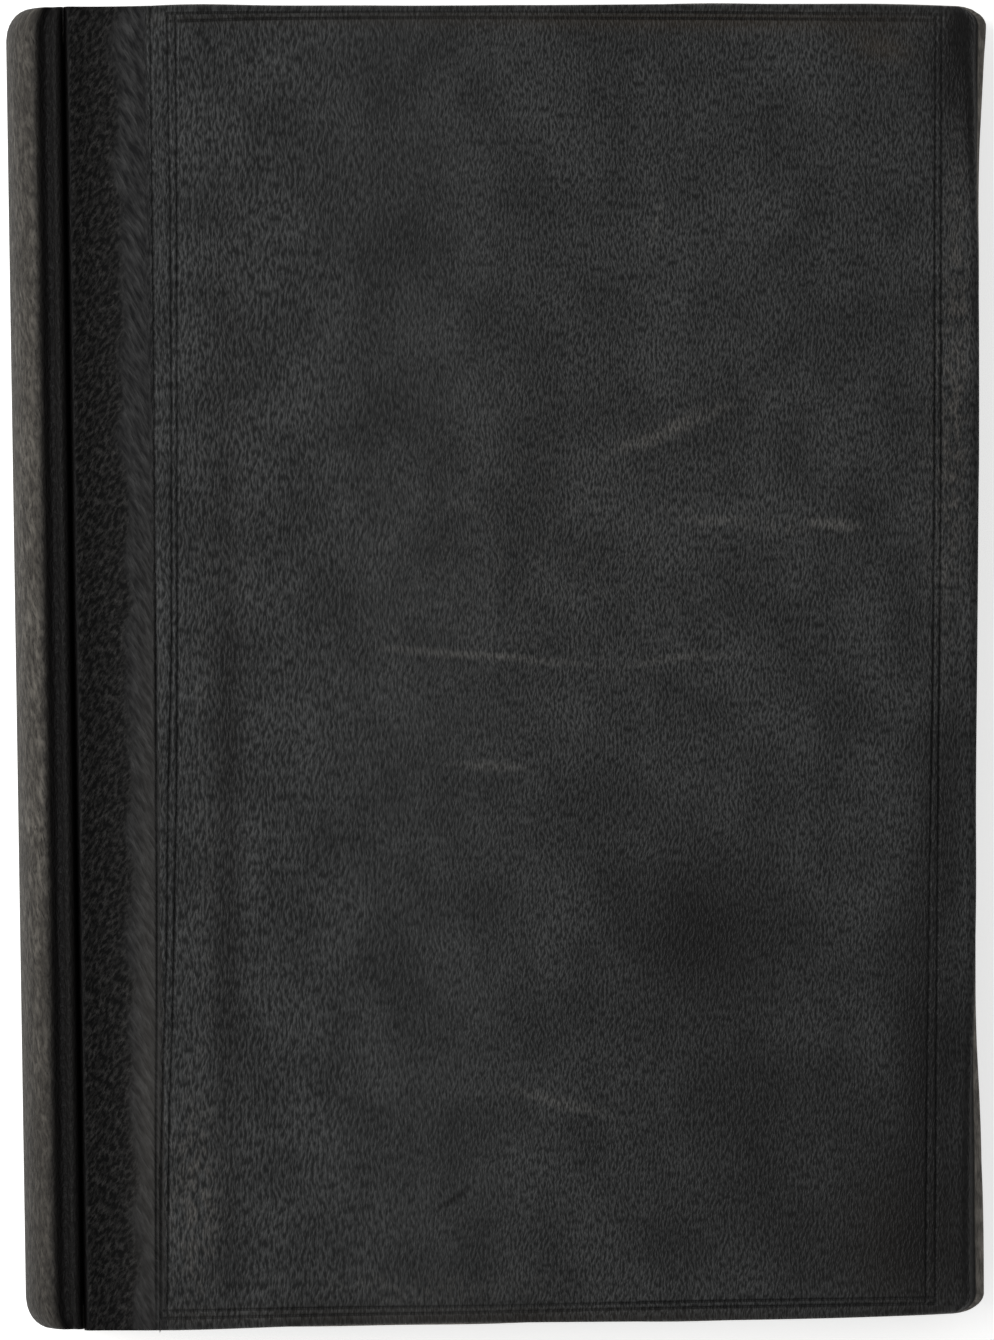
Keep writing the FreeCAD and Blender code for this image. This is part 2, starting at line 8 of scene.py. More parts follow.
# %% Load the solids
import json
import math
import bpy
import numpy as np
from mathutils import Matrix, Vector


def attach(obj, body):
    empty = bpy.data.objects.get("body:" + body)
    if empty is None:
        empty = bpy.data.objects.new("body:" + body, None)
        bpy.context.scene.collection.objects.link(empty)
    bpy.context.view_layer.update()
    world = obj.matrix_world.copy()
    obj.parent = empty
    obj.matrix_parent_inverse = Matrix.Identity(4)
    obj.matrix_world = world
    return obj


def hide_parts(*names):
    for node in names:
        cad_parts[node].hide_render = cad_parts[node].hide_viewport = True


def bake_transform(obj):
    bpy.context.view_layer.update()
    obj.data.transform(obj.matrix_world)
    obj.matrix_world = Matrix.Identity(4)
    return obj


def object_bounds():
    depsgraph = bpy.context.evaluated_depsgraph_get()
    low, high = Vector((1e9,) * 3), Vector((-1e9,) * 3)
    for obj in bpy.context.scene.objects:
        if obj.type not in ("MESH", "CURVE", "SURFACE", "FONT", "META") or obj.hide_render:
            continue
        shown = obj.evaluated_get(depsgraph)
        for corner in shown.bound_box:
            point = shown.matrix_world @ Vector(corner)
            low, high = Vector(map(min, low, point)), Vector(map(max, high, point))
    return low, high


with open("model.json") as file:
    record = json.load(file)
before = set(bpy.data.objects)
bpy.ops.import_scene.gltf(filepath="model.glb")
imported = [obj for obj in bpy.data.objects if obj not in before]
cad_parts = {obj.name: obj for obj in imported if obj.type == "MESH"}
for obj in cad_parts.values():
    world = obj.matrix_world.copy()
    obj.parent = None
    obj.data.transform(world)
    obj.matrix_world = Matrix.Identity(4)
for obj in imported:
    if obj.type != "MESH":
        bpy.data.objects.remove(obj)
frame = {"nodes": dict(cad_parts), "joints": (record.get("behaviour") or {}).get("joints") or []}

MM = 0.001
cad_box = [list(corner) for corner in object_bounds()]
hinges = {joint["name"]: joint for joint in frame["joints"]}
hinge_axis = hinges["front_hinge"]["axis"]
JOINT_X = hinges["front_hinge"]["pos_m"][0] / MM
LEAN = hinge_axis[0] / -hinge_axis[1]
THICK = cad_box[1][2] / MM
MIDDLE = THICK / 2
print("thickness", round(THICK, 2), "joint at", round(JOINT_X, 2), "lean", round(LEAN, 4))

# %% [markdown]
# ## Curves measured on the photograph
#
# The photograph looks straight down on the front cover, so a place in it is a place on the cover.
# One scale turns a pixel to millimetres. A tooled line or an edge is kept as a few named points and
# a smooth curve is passed through them. A traced outline would hold hundreds of points and would
# copy the noise of the picture too.

# %% From pixels to millimetres
PIXEL = 0.15472
PHOTO_MIDDLE = (495.0, 668.0)


def smooth_curve(points):
    """A function through the points. Each span is a cubic whose slopes come from its neighbours."""
    at, value = np.array(sorted(points), float).T
    slope = np.gradient(value, at)

    def curve(t):
        t = np.clip(t, at[0], at[-1])
        k = np.clip(np.searchsorted(at, t) - 1, 0, len(at) - 2)
        span = at[k + 1] - at[k]
        s = (t - at[k]) / span
        ease = s * s * (3 - 2 * s)
        lead = s * (1 - s) ** 2 * span
        trail = s * s * (s - 1) * span
        return value[k] * (1 - ease) + value[k + 1] * ease + slope[k] * lead + slope[k + 1] * trail

    return curve


def upright(pixels):
    """x along an upright line, as a function of y. Each point is (row, column) in pixels."""
    return smooth_curve([((PHOTO_MIDDLE[1] - row) * PIXEL, (column - PHOTO_MIDDLE[0]) * PIXEL)
                         for row, column in pixels])


def level(pixels):
    """y along a level line, as a function of x. Each point is (column, row) in pixels."""
    return smooth_curve([((column - PHOTO_MIDDLE[0]) * PIXEL, (PHOTO_MIDDLE[1] - row) * PIXEL)
                         for column, row in pixels])


def joint_at(y):
    return JOINT_X - y * LEAN


board_edge = upright([(5, 974), (60, 974), (130, 975), (250, 978.5), (400, 979.5), (550, 978.5),
                      (670, 977.5), (800, 976.5), (900, 976.5), (1000, 974.5), (1100, 971),
                      (1200, 970.5), (1330, 970.5)])
rim_edge = upright([(5, 987), (20, 987.5), (60, 985), (100, 983), (150, 981), (250, 980),
                    (400, 980), (550, 979), (670, 978), (800, 977), (1000, 977),
                    (1100, 980), (1200, 984.5), (1280, 985.5), (1330, 985.5)])
single_line = upright([(5, 150.4), (200, 152.7), (400, 154.6), (670, 155.8), (900, 157),
                       (1000, 157), (1140, 156.1), (1330, 156.8)])
left_line_1 = upright([(5, 167.2), (190, 170.3), (500, 172), (670, 171.5), (800, 168.6),
                       (960, 167), (1140, 161.8), (1330, 161.5)])
left_line_2 = upright([(5, 176), (200, 177.2), (500, 177.7), (700, 177.5), (800, 177),
                       (920, 174.6), (1000, 173.4), (1140, 169.5), (1330, 168)])
right_line_1 = upright([(5, 936.5), (150, 935.6), (570, 934.3), (700, 933), (900, 930),
                        (1100, 927.5), (1330, 926)])
right_line_2 = upright([(5, 942.5), (150, 941.8), (570, 940.8), (700, 939.5), (900, 938),
                        (1100, 936.5), (1330, 935.5)])
head_edge = level([(60, 6), (130, 5.6), (205, 4.2), (260, 5), (500, 5), (750, 3.6), (900, 4.4),
                   (990, 7)])
head_line_1 = level([(60, 21.5), (176, 21), (240, 19), (330, 18), (600, 18), (870, 19.6),
                     (990, 21)])
head_line_2 = level([(60, 14), (150, 13.4), (240, 12.2), (600, 11.6), (870, 13.8), (990, 15)])
tail_edge = level([(60, 1331), (150, 1331), (200, 1330), (300, 1326.5), (500, 1323), (700, 1321),
                   (900, 1316), (990, 1311)])
tail_line_1 = level([(60, 1312), (176, 1311), (330, 1308), (500, 1306), (700, 1301.5), (990, 1297)])
tail_line_2 = level([(60, 1319), (160, 1318.5), (330, 1315), (500, 1312), (700, 1307.5),
                     (990, 1303)])
print("cover height at the middle", round(float(head_edge(0) - tail_edge(0)), 1), "mm")


# %% [markdown]
# ## Helpers for meshes
#
# Every piece is a closed mesh made from rows of points. numpy holds the points in millimetres, and
# one function makes the Blender object. It also stores each vertex's place at rest, in millimetres,
# because a cover that bends at its joint must carry its grain with it. Blender's own object
# coordinates would let the grain slide over the bent leather.

# %% Mesh helpers
def ease(value, low, high):
    """0 below low, 1 above high and a smooth rise between them."""
    t = np.clip((value - low) / (high - low), 0, 1)
    return t * t * (3 - 2 * t)


def mix(low, high, share):
    return low + share * (high - low)


def grid_faces(ids, flip=False):
    """Quads over a table of vertex numbers."""
    quads = np.stack([ids[:-1, :-1], ids[:-1, 1:], ids[1:, 1:], ids[1:, :-1]], -1).reshape(-1, 4)
    return (quads[:, ::-1] if flip else quads).tolist()


def closed_strip(count, wide, flip):
    """Faces of a folded strip: rows that close on themselves, with both side edges filled."""
    ids = np.arange(count * wide).reshape(count, wide)
    faces = grid_faces(np.vstack([ids, ids[:1]]), flip=flip)
    for column, turned in ((0, flip), (wide - 1, not flip)):
        for k in range(count // 2 - 1):
            quad = [ids[k, column], ids[k + 1, column], ids[count - 2 - k, column],
                    ids[count - 1 - k, column]]
            faces.append(quad[::-1] if turned else quad)
    return faces


def turned_over(points, faces):
    """The same piece under the book's middle, facing down."""
    return points * [1, 1, -1] + [0, 0, THICK], [tuple(face)[::-1] for face in faces]


def make_piece(name, points, faces, masks=None, skin=None, smooth=True):
    """A mesh object from points in millimetres. Masks are values per vertex for its material.

    skin is each vertex's place on the flat hide or sheet that the piece was made from."""
    points = np.asarray(points, float)
    skin = points if skin is None else np.column_stack([skin, np.zeros(len(points))])
    mesh = bpy.data.meshes.new(name)
    mesh.from_pydata((points * MM).tolist(), [], faces)
    mesh.update()
    rest = mesh.attributes.new("rest", "FLOAT_VECTOR", "POINT")
    rest.data.foreach_set("vector", points.astype(np.float32).ravel())
    flat = mesh.attributes.new("skin", "FLOAT_VECTOR", "POINT")
    flat.data.foreach_set("vector", skin.astype(np.float32).ravel())
    for key, values in (masks or {}).items():
        mask = mesh.attributes.new(key, "FLOAT", "POINT")
        mask.data.foreach_set("value", np.asarray(values, np.float32))
    mesh.polygons.foreach_set("use_smooth", [smooth] * len(mesh.polygons))
    piece = bpy.data.objects.new(name, mesh)
    bpy.context.scene.collection.objects.link(piece)
    triangles = sum(len(face) - 2 for face in faces)
    print(f"{name}: {len(points)} points, {triangles} triangles")
    return piece


def waves(x, y, seed, size, count=7):
    """Slow random waves about size millimetres long, between about -1 and 1."""
    draw = np.random.default_rng(seed)
    total = np.zeros(np.shape(x + y))
    for _ in range(count):
        turn, phase = draw.uniform(0, math.tau, 2)
        length = size * draw.uniform(0.7, 1.6)
        along = (x * math.cos(turn) + y * math.sin(turn)) / length
        total = total + np.sin(math.tau * along + phase)
    return total / math.sqrt(count)


# %% [markdown]
# ## The cover leather
#
# On the real book one skin of leather is drawn over the board, pressed down into the joint beside
# the spine, turned over the board's edges and pasted inside. The lines are pressed in with a warm
# tool. A flat plane with a bump map would show none of this from the side. A sculpted mesh would be
# hard to measure. So the top is one grid whose columns run along the crease, the tooled lines and
# the fore edge, and whose rows run along the lines at the head and tail. Where a line runs, the
# columns stand close together, and the groove is real geometry.

# %% Where the columns and rows run
TOOL_STEPS = (-0.42, -0.24, -0.12, 0.0, 0.12, 0.24, 0.42)
EDGE_STEPS = (1.5, 1.05, 0.72, 0.46, 0.26, 0.12, 0.03, 0.0)
CORNER = 2.8
CREASE_END = -0.12


def shifted(curve, by):
    return lambda t: curve(t) + by


def stations(guides):
    """The lines of a grid: every guide, and count evenly spaced lines after it."""
    lines = []
    for k, (curve, count) in enumerate(guides):
        lines.append((curve, curve, 0.0))
        if count:
            lines += [(curve, guides[k + 1][0], step / (count + 1)) for step in range(1, count + 1)]
    return lines


def tooled(curve, gap_after):
    """The close columns of one tooled line, and how many plain ones follow them."""
    steps = [(shifted(curve, step), 0) for step in TOOL_STEPS]
    return steps[:-1] + [(steps[-1][0], gap_after)]


def corner_cut(distance, radius):
    """How far a rounded corner stands back from the edge, at a distance from the other edge."""
    inside = np.clip(radius - distance, 0, radius)
    return radius - np.sqrt(radius ** 2 - inside ** 2)


def fore_end(y, x):
    """The board's fore edge at y, drawn in where the corner is rounded."""
    from_end = np.minimum(head_edge(x) - y, y - tail_edge(x))
    return board_edge(y) - corner_cut(np.maximum(from_end, 0), CORNER)


COLUMNS = stations(
    [(lambda y: joint_at(y) + CREASE_END, 7), (lambda y: joint_at(y) + 1.2, 14),
     (shifted(single_line, -0.9), 1)]
    + tooled(single_line, 1) + tooled(left_line_1, 0) + tooled(left_line_2, 42)
    + [(shifted(left_line_2, 40), 78)]
    + [(shifted(right_line_1, -1.2), 2)] + tooled(right_line_1, 0) + tooled(right_line_2, 4)
    + [(shifted(board_edge, -2.1), 0)]
)
ROWS = stations(
    [(shifted(tail_edge, step), 0) for step in EDGE_STEPS[:1:-1]]
    + tooled(tail_line_2, 0) + tooled(tail_line_1, 2) + [(shifted(tail_line_1, 3), 225)]
    + [(shifted(head_line_1, -1.6), 2)] + tooled(head_line_1, 0) + tooled(head_line_2, 0)
    + [(shifted(head_edge, -step), 0) for step in EDGE_STEPS[3:]]
)
print(len(COLUMNS) + len(EDGE_STEPS), "columns and", len(ROWS), "rows")


# %% The grid's plan
PLAN_ROUNDS = 5


def plain_table(rows, columns):
    """Evenly spaced x and y over the cover, for a plan to start from."""
    x = np.linspace(-65, 75, columns)[None, :] * np.ones((rows, 1))
    y = np.linspace(-102, 102, rows)[:, None] * np.ones((1, columns))
    return x, y


def plan_grid():
    """x and y of every point of the top, row by row from the tail.

    A row's y depends on x and a column's x on y, so the plan settles in a few rounds."""
    count = len(COLUMNS) + len(EDGE_STEPS)
    x, y = plain_table(len(ROWS), count)
    for _ in range(PLAN_ROUNDS):
        for j, (low, high, share) in enumerate(ROWS):
            y[j] = (1 - share) * low(x[j]) + share * high(x[j])
        end = fore_end(y, x)
        for i, (low, high, share) in enumerate(COLUMNS):
            line = (1 - share) * low(y[:, i]) + share * high(y[:, i])
            room = EDGE_STEPS[0] + 0.12 * (len(COLUMNS) - i)
            x[:, i] = np.minimum(line, end[:, i] - room)
        for k, step in enumerate(EDGE_STEPS):
            x[:, len(COLUMNS) + k] = end[:, len(COLUMNS) + k] - step
    return x, y


# %% [markdown]
# ## The shape of the cover's top
#
# The height is a sum of plain things: the joint's groove, the tooled lines, the shallow dip beside
# the left lines where the boards have drawn the leather, the rolled edge, the corner that is bent
# down at the head and the fore edge's lower half, which has been handled until it slopes.

# %% Heights on the top
TOP = THICK - 0.22
EDGE_ROLL = 1.15
LINE_DEPTH = 0.26
LINE_HALF = 0.2
LINE_FADE = 0.3
joint_groove = smooth_curve([(-0.3, 2.55), (-0.1, 2.25), (0.12, 1.7), (0.38, 1.12), (0.8, 0.98),
                             (1.6, 1.2), (3.0, 1.6), (4.6, 1.78), (6.2, 1.62), (8.0, 1.22),
                             (10.0, 0.68), (12.0, 0.22), (13.6, 0.04), (16, 0.0)])


def pressed(distance):
    """The cross section of a tooled line, 1 at its middle."""
    return 1 - ease(np.abs(distance), 0.3 * LINE_HALF, 1.45 * LINE_HALF)


def between(value, low, high):
    """1 between two lines, fading out just past them."""
    return ease(value, low - LINE_FADE, low) * (1 - ease(value, high, high + LINE_FADE))


def tooled_lines(x, y):
    """1 at the middle of each tooled line, 0 beside it. The frame's lines stop at its corners."""
    across = between(x, left_line_1(y), right_line_2(y))
    along = between(y, tail_line_2(x), head_line_2(x))
    lines = pressed(x - single_line(y))
    for line in (left_line_1, left_line_2, right_line_1, right_line_2):
        lines = np.maximum(lines, pressed(x - line(y)) * along)
    for line in (head_line_1, head_line_2, tail_line_1, tail_line_2):
        lines = np.maximum(lines, pressed(y - line(x)) * across)
    faint = 0.8 + 0.2 * waves(x, y, 11, 40)
    return lines * np.clip(faint, 0.45, 1)


def cover_drop(x, y, aged):
    """How far the top lies below its level, in millimetres."""
    u = x - joint_at(y)
    drop = joint_groove(u) + LINE_DEPTH * tooled_lines(x, y)
    drop = drop - 0.12 * waves(x, y, 5, 70) * ease(u, 14, 30)
    drop = drop - 0.05 * waves(x, y, 6, 17) * ease(u, 14, 20)
    valley = np.exp(-((u - 24) / 2.6) ** 2) * 0.26 - np.exp(-((u - 20.2) / 0.8) ** 2) * 0.07
    valley = valley - np.exp(-((u - 27.6) / 1.0) ** 2) * 0.07
    return drop + aged * valley * (0.75 + 0.25 * waves(x * 0, y, 8, 60))


def bent_down(x, y):
    """The drop of the worn corner at the head and of the handled fore edge."""
    from_fore = board_edge(y) - x
    fold = 70.0 + 4.6 * ease(-y, -99, -82)
    head_corner = ease(x - fold, 0.0, 4.8) * 1.35 * ease(y, 80, 86)
    head_corner = head_corner + ease(y, 99.5, 102.5) * ease(x, 66.5, 72) * 0.5
    sloped = ease(-y, -4.0, 3.0) * ease(5.2 - from_fore, 0.0, 5.2)
    low_corner = ease(-y, 88, 101) * ease(x, 62, 73) * 0.5
    drop = head_corner + sloped * (0.55 + 0.35 * ease(-y, 20, 80)) + low_corner
    return np.minimum(drop, 1.45)


def rolled(distance):
    """The drop of the rounded board edge at a distance from it."""
    inside = np.clip(EDGE_ROLL - distance, 0, EDGE_ROLL)
    return EDGE_ROLL - np.sqrt(EDGE_ROLL ** 2 - inside ** 2)


def top_height(x, y, aged):
    """Height of the front cover's top, with the joint kept thick enough to close underneath."""
    u = x - joint_at(y)
    from_end = np.minimum(head_edge(x) - y, y - tail_edge(x))
    nearest = np.minimum(from_end, fore_end(y, x) - x)
    z = TOP - cover_drop(x, y, aged) - bent_down(x, y) * aged
    bead = 0.1 * np.exp(-((nearest - 1.3) / 0.5) ** 2) * ease(u, 10, 16)
    over_board = 0.35 + 0.65 * ease(u, 3, 14)
    lowest = 29.36 + 0.1 * ease(u, 0.0, 1.0)
    return np.maximum(z + bead - rolled(nearest) * over_board, lowest)


# %% [markdown]
# ## Round the edge and under the cover
#
# Past its edge the leather turns down as a deep flap, because this binding shelters its leaves.
# Age has pushed the flap outwards at the two fore corners, so its rim shows there as a pale strip.
# The rim's pale colour is worn leather with a painted highlight.
# The flap is a set of rings that start at the grid's border. Inside it the leather is pasted down
# on the board as a turn-in. These hidden rings need few points, so a strip of triangles joins the
# fine rings to coarse ones.

# %% The coarse plan for the hidden side
COARSE_U = (0.0, 1.5, 3.0, 5.0, 7.0, 9.0, 10.6, 11.9, 12.1, 14.0, 17.0)
COARSE_ACROSS = 34
COARSE_ALONG = 56
COARSE_APART = 0.04


def steady(inset):
    """The same inset all along an edge."""
    return lambda v: inset + 0 * v


def coarse_plan(fore_inset, side_inset, left=0.3):
    """x and y of a coarse grid inside the cover's outline, set in from its three edges."""
    count = len(COARSE_U) + COARSE_ACROSS
    x, y = plain_table(COARSE_ALONG, count)
    share = np.linspace(0, 1, COARSE_ALONG)[:, None]
    for _ in range(PLAN_ROUNDS):
        u = x - joint_at(y)
        low = tail_edge(x) + side_inset(u)
        high = head_edge(x) - side_inset(u)
        y = low + (high - low) * share
        from_end = np.minimum(high - y, y - low)
        end = board_edge(y) - fore_inset(y) - corner_cut(from_end, 0.8)
        for i in range(count):
            if i < len(COARSE_U):
                x[:, i] = joint_at(y[:, i]) + max(COARSE_U[i], left) + COARSE_APART * i
            else:
                start = joint_at(y[:, i]) + COARSE_U[-1] + COARSE_APART * len(COARSE_U)
                part = (i - len(COARSE_U) + 1) / COARSE_ACROSS
                x[:, i] = start + (end[:, i] - start) * part
    return x, y


def border(table):
    """The border of a table, once round from the joint's tail corner."""
    return np.concatenate([table[0, :-1], table[:-1, -1], table[-1, :0:-1], table[:0:-1, 0]])


def border_share(x, y, shape):
    """How far round each border point is, 0 to 4, one for each side."""
    rows, columns = shape
    across, along = columns - 1, rows - 1
    sides = []
    for values, count in ((x, across), (y, along), (-x, across), (-y, along)):
        start = sum(part.size for part in sides)
        part = np.append(values[start:start + count], values[(start + count) % values.size])
        sides.append(((part - part[0]) / (part[-1] - part[0]))[:-1] + len(sides))
    return np.concatenate(sides)


def zip_rings(first, second, first_share, second_share):
    """Triangles between two closed rings with different numbers of points."""
    faces = []
    i = j = 0
    n, m = len(first), len(second)
    while i < n or j < m:
        next_i = first_share[i + 1] if i + 1 < n else 4.0
        next_j = second_share[j + 1] if j + 1 < m else 4.0
        if j >= m or (i < n and next_i <= next_j):
            faces.append((first[i % n], first[(i + 1) % n], second[j % m]))
            i += 1
        else:
            faces.append((first[i % n], second[(j + 1) % m], second[j % m]))
            j += 1
    return faces


# %% The flap, the turn-in and the closed skin
FLAP_PATH = ((0.04, 0.12), (0.10, 0.30), (0.16, 0.48), (0.22, 0.64), (0.28, 0.78), (0.36, 0.88),
             (0.50, 0.935), (0.70, 0.96), (0.90, 0.98), (1.0, 1.0))
RIM_PATH = ((0.0, 0.45), (0.25, 0.62), (0.7, 0.7), (1.15, 0.62), (1.45, 0.4), (1.6, 0.05))
RIM_Z = 24.75
FLAP_DEEP = 7
LIP = 0.3
LEATHER_DOUBLE = 1.6
CAP_LEVEL = 29.3
TURN_LEVEL = 28.85
BOARD_FOOT = 29.2
TURN_IN = 12
BOARD_SKIN = 12.3


def under_leather(x, y, aged):
    """Height of the leather's inner face. The board under it is crushed at a bent corner."""
    return np.minimum(THICK - 1.0, TOP - bent_down(x, y) * aged - 0.72)


def outward(x, y):
    """The unit direction that points away from the cover at each border point."""
    dx = np.roll(x, -1) - np.roll(x, 1)
    dy = np.roll(y, -1) - np.roll(y, 1)
    length = np.hypot(dx, dy)
    return dy / length, -dx / length


def cover_skin(aged):
    """One cover's leather as the front cover lies: points, faces, turned and flat.

    turned is 0 on top, 0.5 to 1 down the flap, 1.5 at the rim and 2 on the hidden side. flat is
    each point's place on the flat hide."""
    x, y = plan_grid()
    z = top_height(x, y, aged)
    points, turned, flat = [], [], []

    def add_points(px, py, pz, mask, depth=0.0):
        """Adds points and gives their numbers. depth is how far past the border the hide ran."""
        start = sum(len(part) for part in points)
        points.append(np.stack([np.ravel(px), np.ravel(py), np.ravel(pz)], 1))
        turned.append(np.full(px.size, mask))
        on_hide = points[-1][:, :2]
        flat.append(on_hide + np.stack([out_x, out_y], 1) * depth if depth else on_hide)
        return np.arange(start, start + px.size).reshape(px.shape)

    ids = add_points(x, y, z, 0.0)
    faces = grid_faces(ids)
    bx, by, bz = border(x), border(y), border(z)
    ring = border(ids)
    out_x, out_y = outward(bx, by)
    on_left = np.arange(bx.size) > bx.size - len(x)
    on_left[0] = True
    out_x[on_left], out_y[on_left] = -1.0, 0.0
    u = bx - joint_at(by)
    flap = ease(u, 9, 17)
    turn = ease(u, 0.4, 3)
    reach = rim_edge(by) - board_edge(by)
    near_fore = ease(board_edge(by) - bx, 14, 2)
    flare = (LIP + (reach - LIP) * near_fore) * flap
    side_flare = LIP * flap
    rim_z = mix(mix(CAP_LEVEL - 0.06, TURN_LEVEL, turn), RIM_Z, flap)

    def join(last, new):
        pair = np.stack([np.append(last, last[0]), np.append(new, new[0])])
        faces.extend(grid_faces(pair, flip=True))
        return new

    for depth_step, (out, down) in enumerate(FLAP_PATH):
        wobble = 0.12 * waves(bx + by, bz * 0 + depth_step * 2.0, 21, 23) * flap * down
        px = bx + out_x * (flare * out + wobble)
        py = by + out_y * (side_flare * out + wobble)
        new = add_points(px, py, mix(bz, rim_z, down), 0.5 + 0.5 * down, FLAP_DEEP * down)
        ring = join(ring, new)
    for inward, below in RIM_PATH:
        inset = inward * (0.2 + 0.8 * flap) * (0.25 + 0.75 * turn)
        px = bx + out_x * (flare - inset)
        py = by + out_y * (side_flare - inset)
        pz = rim_z - below * flap * 1.1 - 0.004 * inward
        ring = join(ring, add_points(px, py, pz, 1.5, FLAP_DEEP + 1 + inward))
    fine_share = border_share(bx, by, x.shape)

    def side_inset(small, large):
        return lambda v: small + (large - small) * ease(v, 0.5, 12)

    def fore_wall(y_at):
        return LEATHER_DOUBLE - (rim_edge(y_at) - board_edge(y_at)) * 0.8

    edge, turned_in = steady(LEATHER_DOUBLE), steady(TURN_IN)
    # Each ring's inset at the fore edge, at head and tail and at the joint, and its kind.
    hidden = [
        (fore_wall, side_inset(0.3, LEATHER_DOUBLE - 0.25), 0.32, "rim"),
        (edge, side_inset(0.35, LEATHER_DOUBLE), 0.34, "turn"),
        (turned_in, side_inset(0.5, TURN_IN), 0.5, "turn"),
        (turned_in, side_inset(0.5, TURN_IN), 0.52, "back"),
        (edge, side_inset(0.4, LEATHER_DOUBLE), 0.36, "back"),
    ]
    last = None
    for fore_inset, side, left, kind in hidden:
        cx, cy = coarse_plan(fore_inset, side, left)
        px, py = border(cx), border(cy)
        v = px - joint_at(py)
        has_turn = ease(v, 0.4, 3)
        pz = mix(CAP_LEVEL - 0.05, TURN_LEVEL, has_turn)
        if kind == "rim":
            pz = mix(pz, RIM_Z + 0.3, ease(v, 9, 17))
        elif kind == "back":
            pz = mix(CAP_LEVEL - 0.02, BOARD_FOOT, has_turn)
        if last is None:
            last = add_points(px, py, pz, 1.5)
            rings = zip_rings(ring, last, fine_share, border_share(px, py, cx.shape))
            faces.extend(face[::-1] for face in rings)
        else:
            last = join(last, add_points(px, py, pz, 2.0))
    # The last ring's own plan closes the skin under the board.
    cz = np.where(cx - joint_at(cy) > BOARD_SKIN, under_leather(cx, cy, aged), CAP_LEVEL)
    cap = add_points(cx, cy, cz, 2.0)
    join(last, border(cap))
    faces.extend(grid_faces(cap, flip=True))
    return np.concatenate(points), faces, np.concatenate(turned), np.concatenate(flat)


# %% Masks for the leather's wear
def spots(x, y, places):
    """Soft patches. Each is x, y, half width, half height, turn in degrees and strength."""
    total = np.zeros(np.shape(x))
    for px, py, wide, tall, turn, strength in places:
        angle = math.radians(turn)
        across = (x - px) * math.cos(angle) + (y - py) * math.sin(angle)
        along = (y - py) * math.cos(angle) - (x - px) * math.sin(angle)
        total += strength * np.exp(-(across / wide) ** 2 - (along / tall) ** 2)
    return total


JOINT_SKIN = 12.9
RUBBED = [(-46.5, -83, 3.5, 12, 0, 0.5), (-53.5, -70, 2.2, 30, 0, 0.35),
          (-10, -96, 20, 2.2, 0, 0.2), (-53.5, -20, 2.0, 40, 0, 0.22),
          (-44, -30, 4, 60, 0, 0.1), (71.5, 55, 1.6, 30, 0, 0.45),
          (69.5, 30, 3.0, 30, 0, 0.3), (-42, 30, 5, 45, 0, 0.06), (10, 20, 40, 30, 20, 0.1),
          (47, 22, 6, 1.0, 0, 0.3), (27, 37, 12, 1.2, 22, 0.22)]
# Dark patches, and painted shade where the leather turns from the lamp: the spots at x 62 to 73.4
# on the bent head corner, the low fore corner, the sloped lower fore border and the rolled fore
# edge.
DARK_PATCHES_AND_SHADE = [(32, -42, 14, 16, 20, 0.85), (45, -75, 22, 18, 0, 0.45), (66.5, -60, 5, 36, 0, 0.9),
            (69, -20, 3, 16, 0, 0.6), (-41, -20, 2.4, 70, 0, 0.65), (-18, 75, 16, 16, 0, 0.15),
            (71.5, 96, 5, 9, -12, 0.9), (72.0, 93, 2.8, 8, -10, 0.9), (62, -92, 14, 10, 0, 0.5),
            (20, -90, 40, 8, 0, 0.15), (73.4, -80, 1.3, 24, 0, 1.0), (73.4, 90, 1.2, 13, 0, 0.9)]
BROWNED = [(60, 96, 5, 2, -10, 0.8), (40, 100, 30, 1.6, 0, 0.6), (0, 100.5, 60, 1.2, 0, 0.4),
           (64, -90, 8, 10, 0, 0.5), (-3, -100.5, 60, 1.6, 0, 0.4)]


def leather_masks(points, turned, aged):
    """Rough joint grain, crease, rubbing, dark patches, brown tint and rim, per vertex.

    The crease, the flap's wall and some dark patches are painted shade, and the rim's colour
    holds a painted highlight.
    """
    x, y = points.T[:2]
    u = x - joint_at(y)
    on_top = turned < 0.3
    ragged = 0.7 * waves(x, y, 31, 9)
    joint_rough = ease(u, 0.2, 1.0) * (1 - ease(u + ragged, 7.2, 9.2))
    stretched = ease(u + ragged, 7.2, 9.2) * (1 - ease(u, 11.6, 13))
    # The crease beside the spine is painted black as shade, and so is the hidden side.
    crease = 1 - ease(u, 0.25, 0.85)
    # The flap's steep wall is painted near black as shade.
    flap_wall_shade = ((turned > 0.5) & (turned < 0.93)) * 1.0
    rim = ((turned >= 0.95) & (turned < 1.9)) * 1.0
    return {
        "lined": tooled_lines(x, y) * on_top,
        "joint_rough": joint_rough * on_top,
        "stretched": stretched * on_top,
        "crease": np.clip(crease * on_top + (turned > 1.9), 0, 1),
        "rubbed": np.clip(spots(x, y, RUBBED) * aged, 0, 1) * on_top,
        "darkened": np.clip(spots(x, y, DARK_PATCHES_AND_SHADE) * aged + flap_wall_shade, 0, 1),
        "browned": np.clip(spots(x, y, BROWNED) * aged, 0, 1),
        "rim": rim,
        "coarse_grain": np.clip(1 - ease(u, 25, 80), 0, 1),
    }


# %% Make both covers
AGED = {"front": 1.0, "back": 0.6}


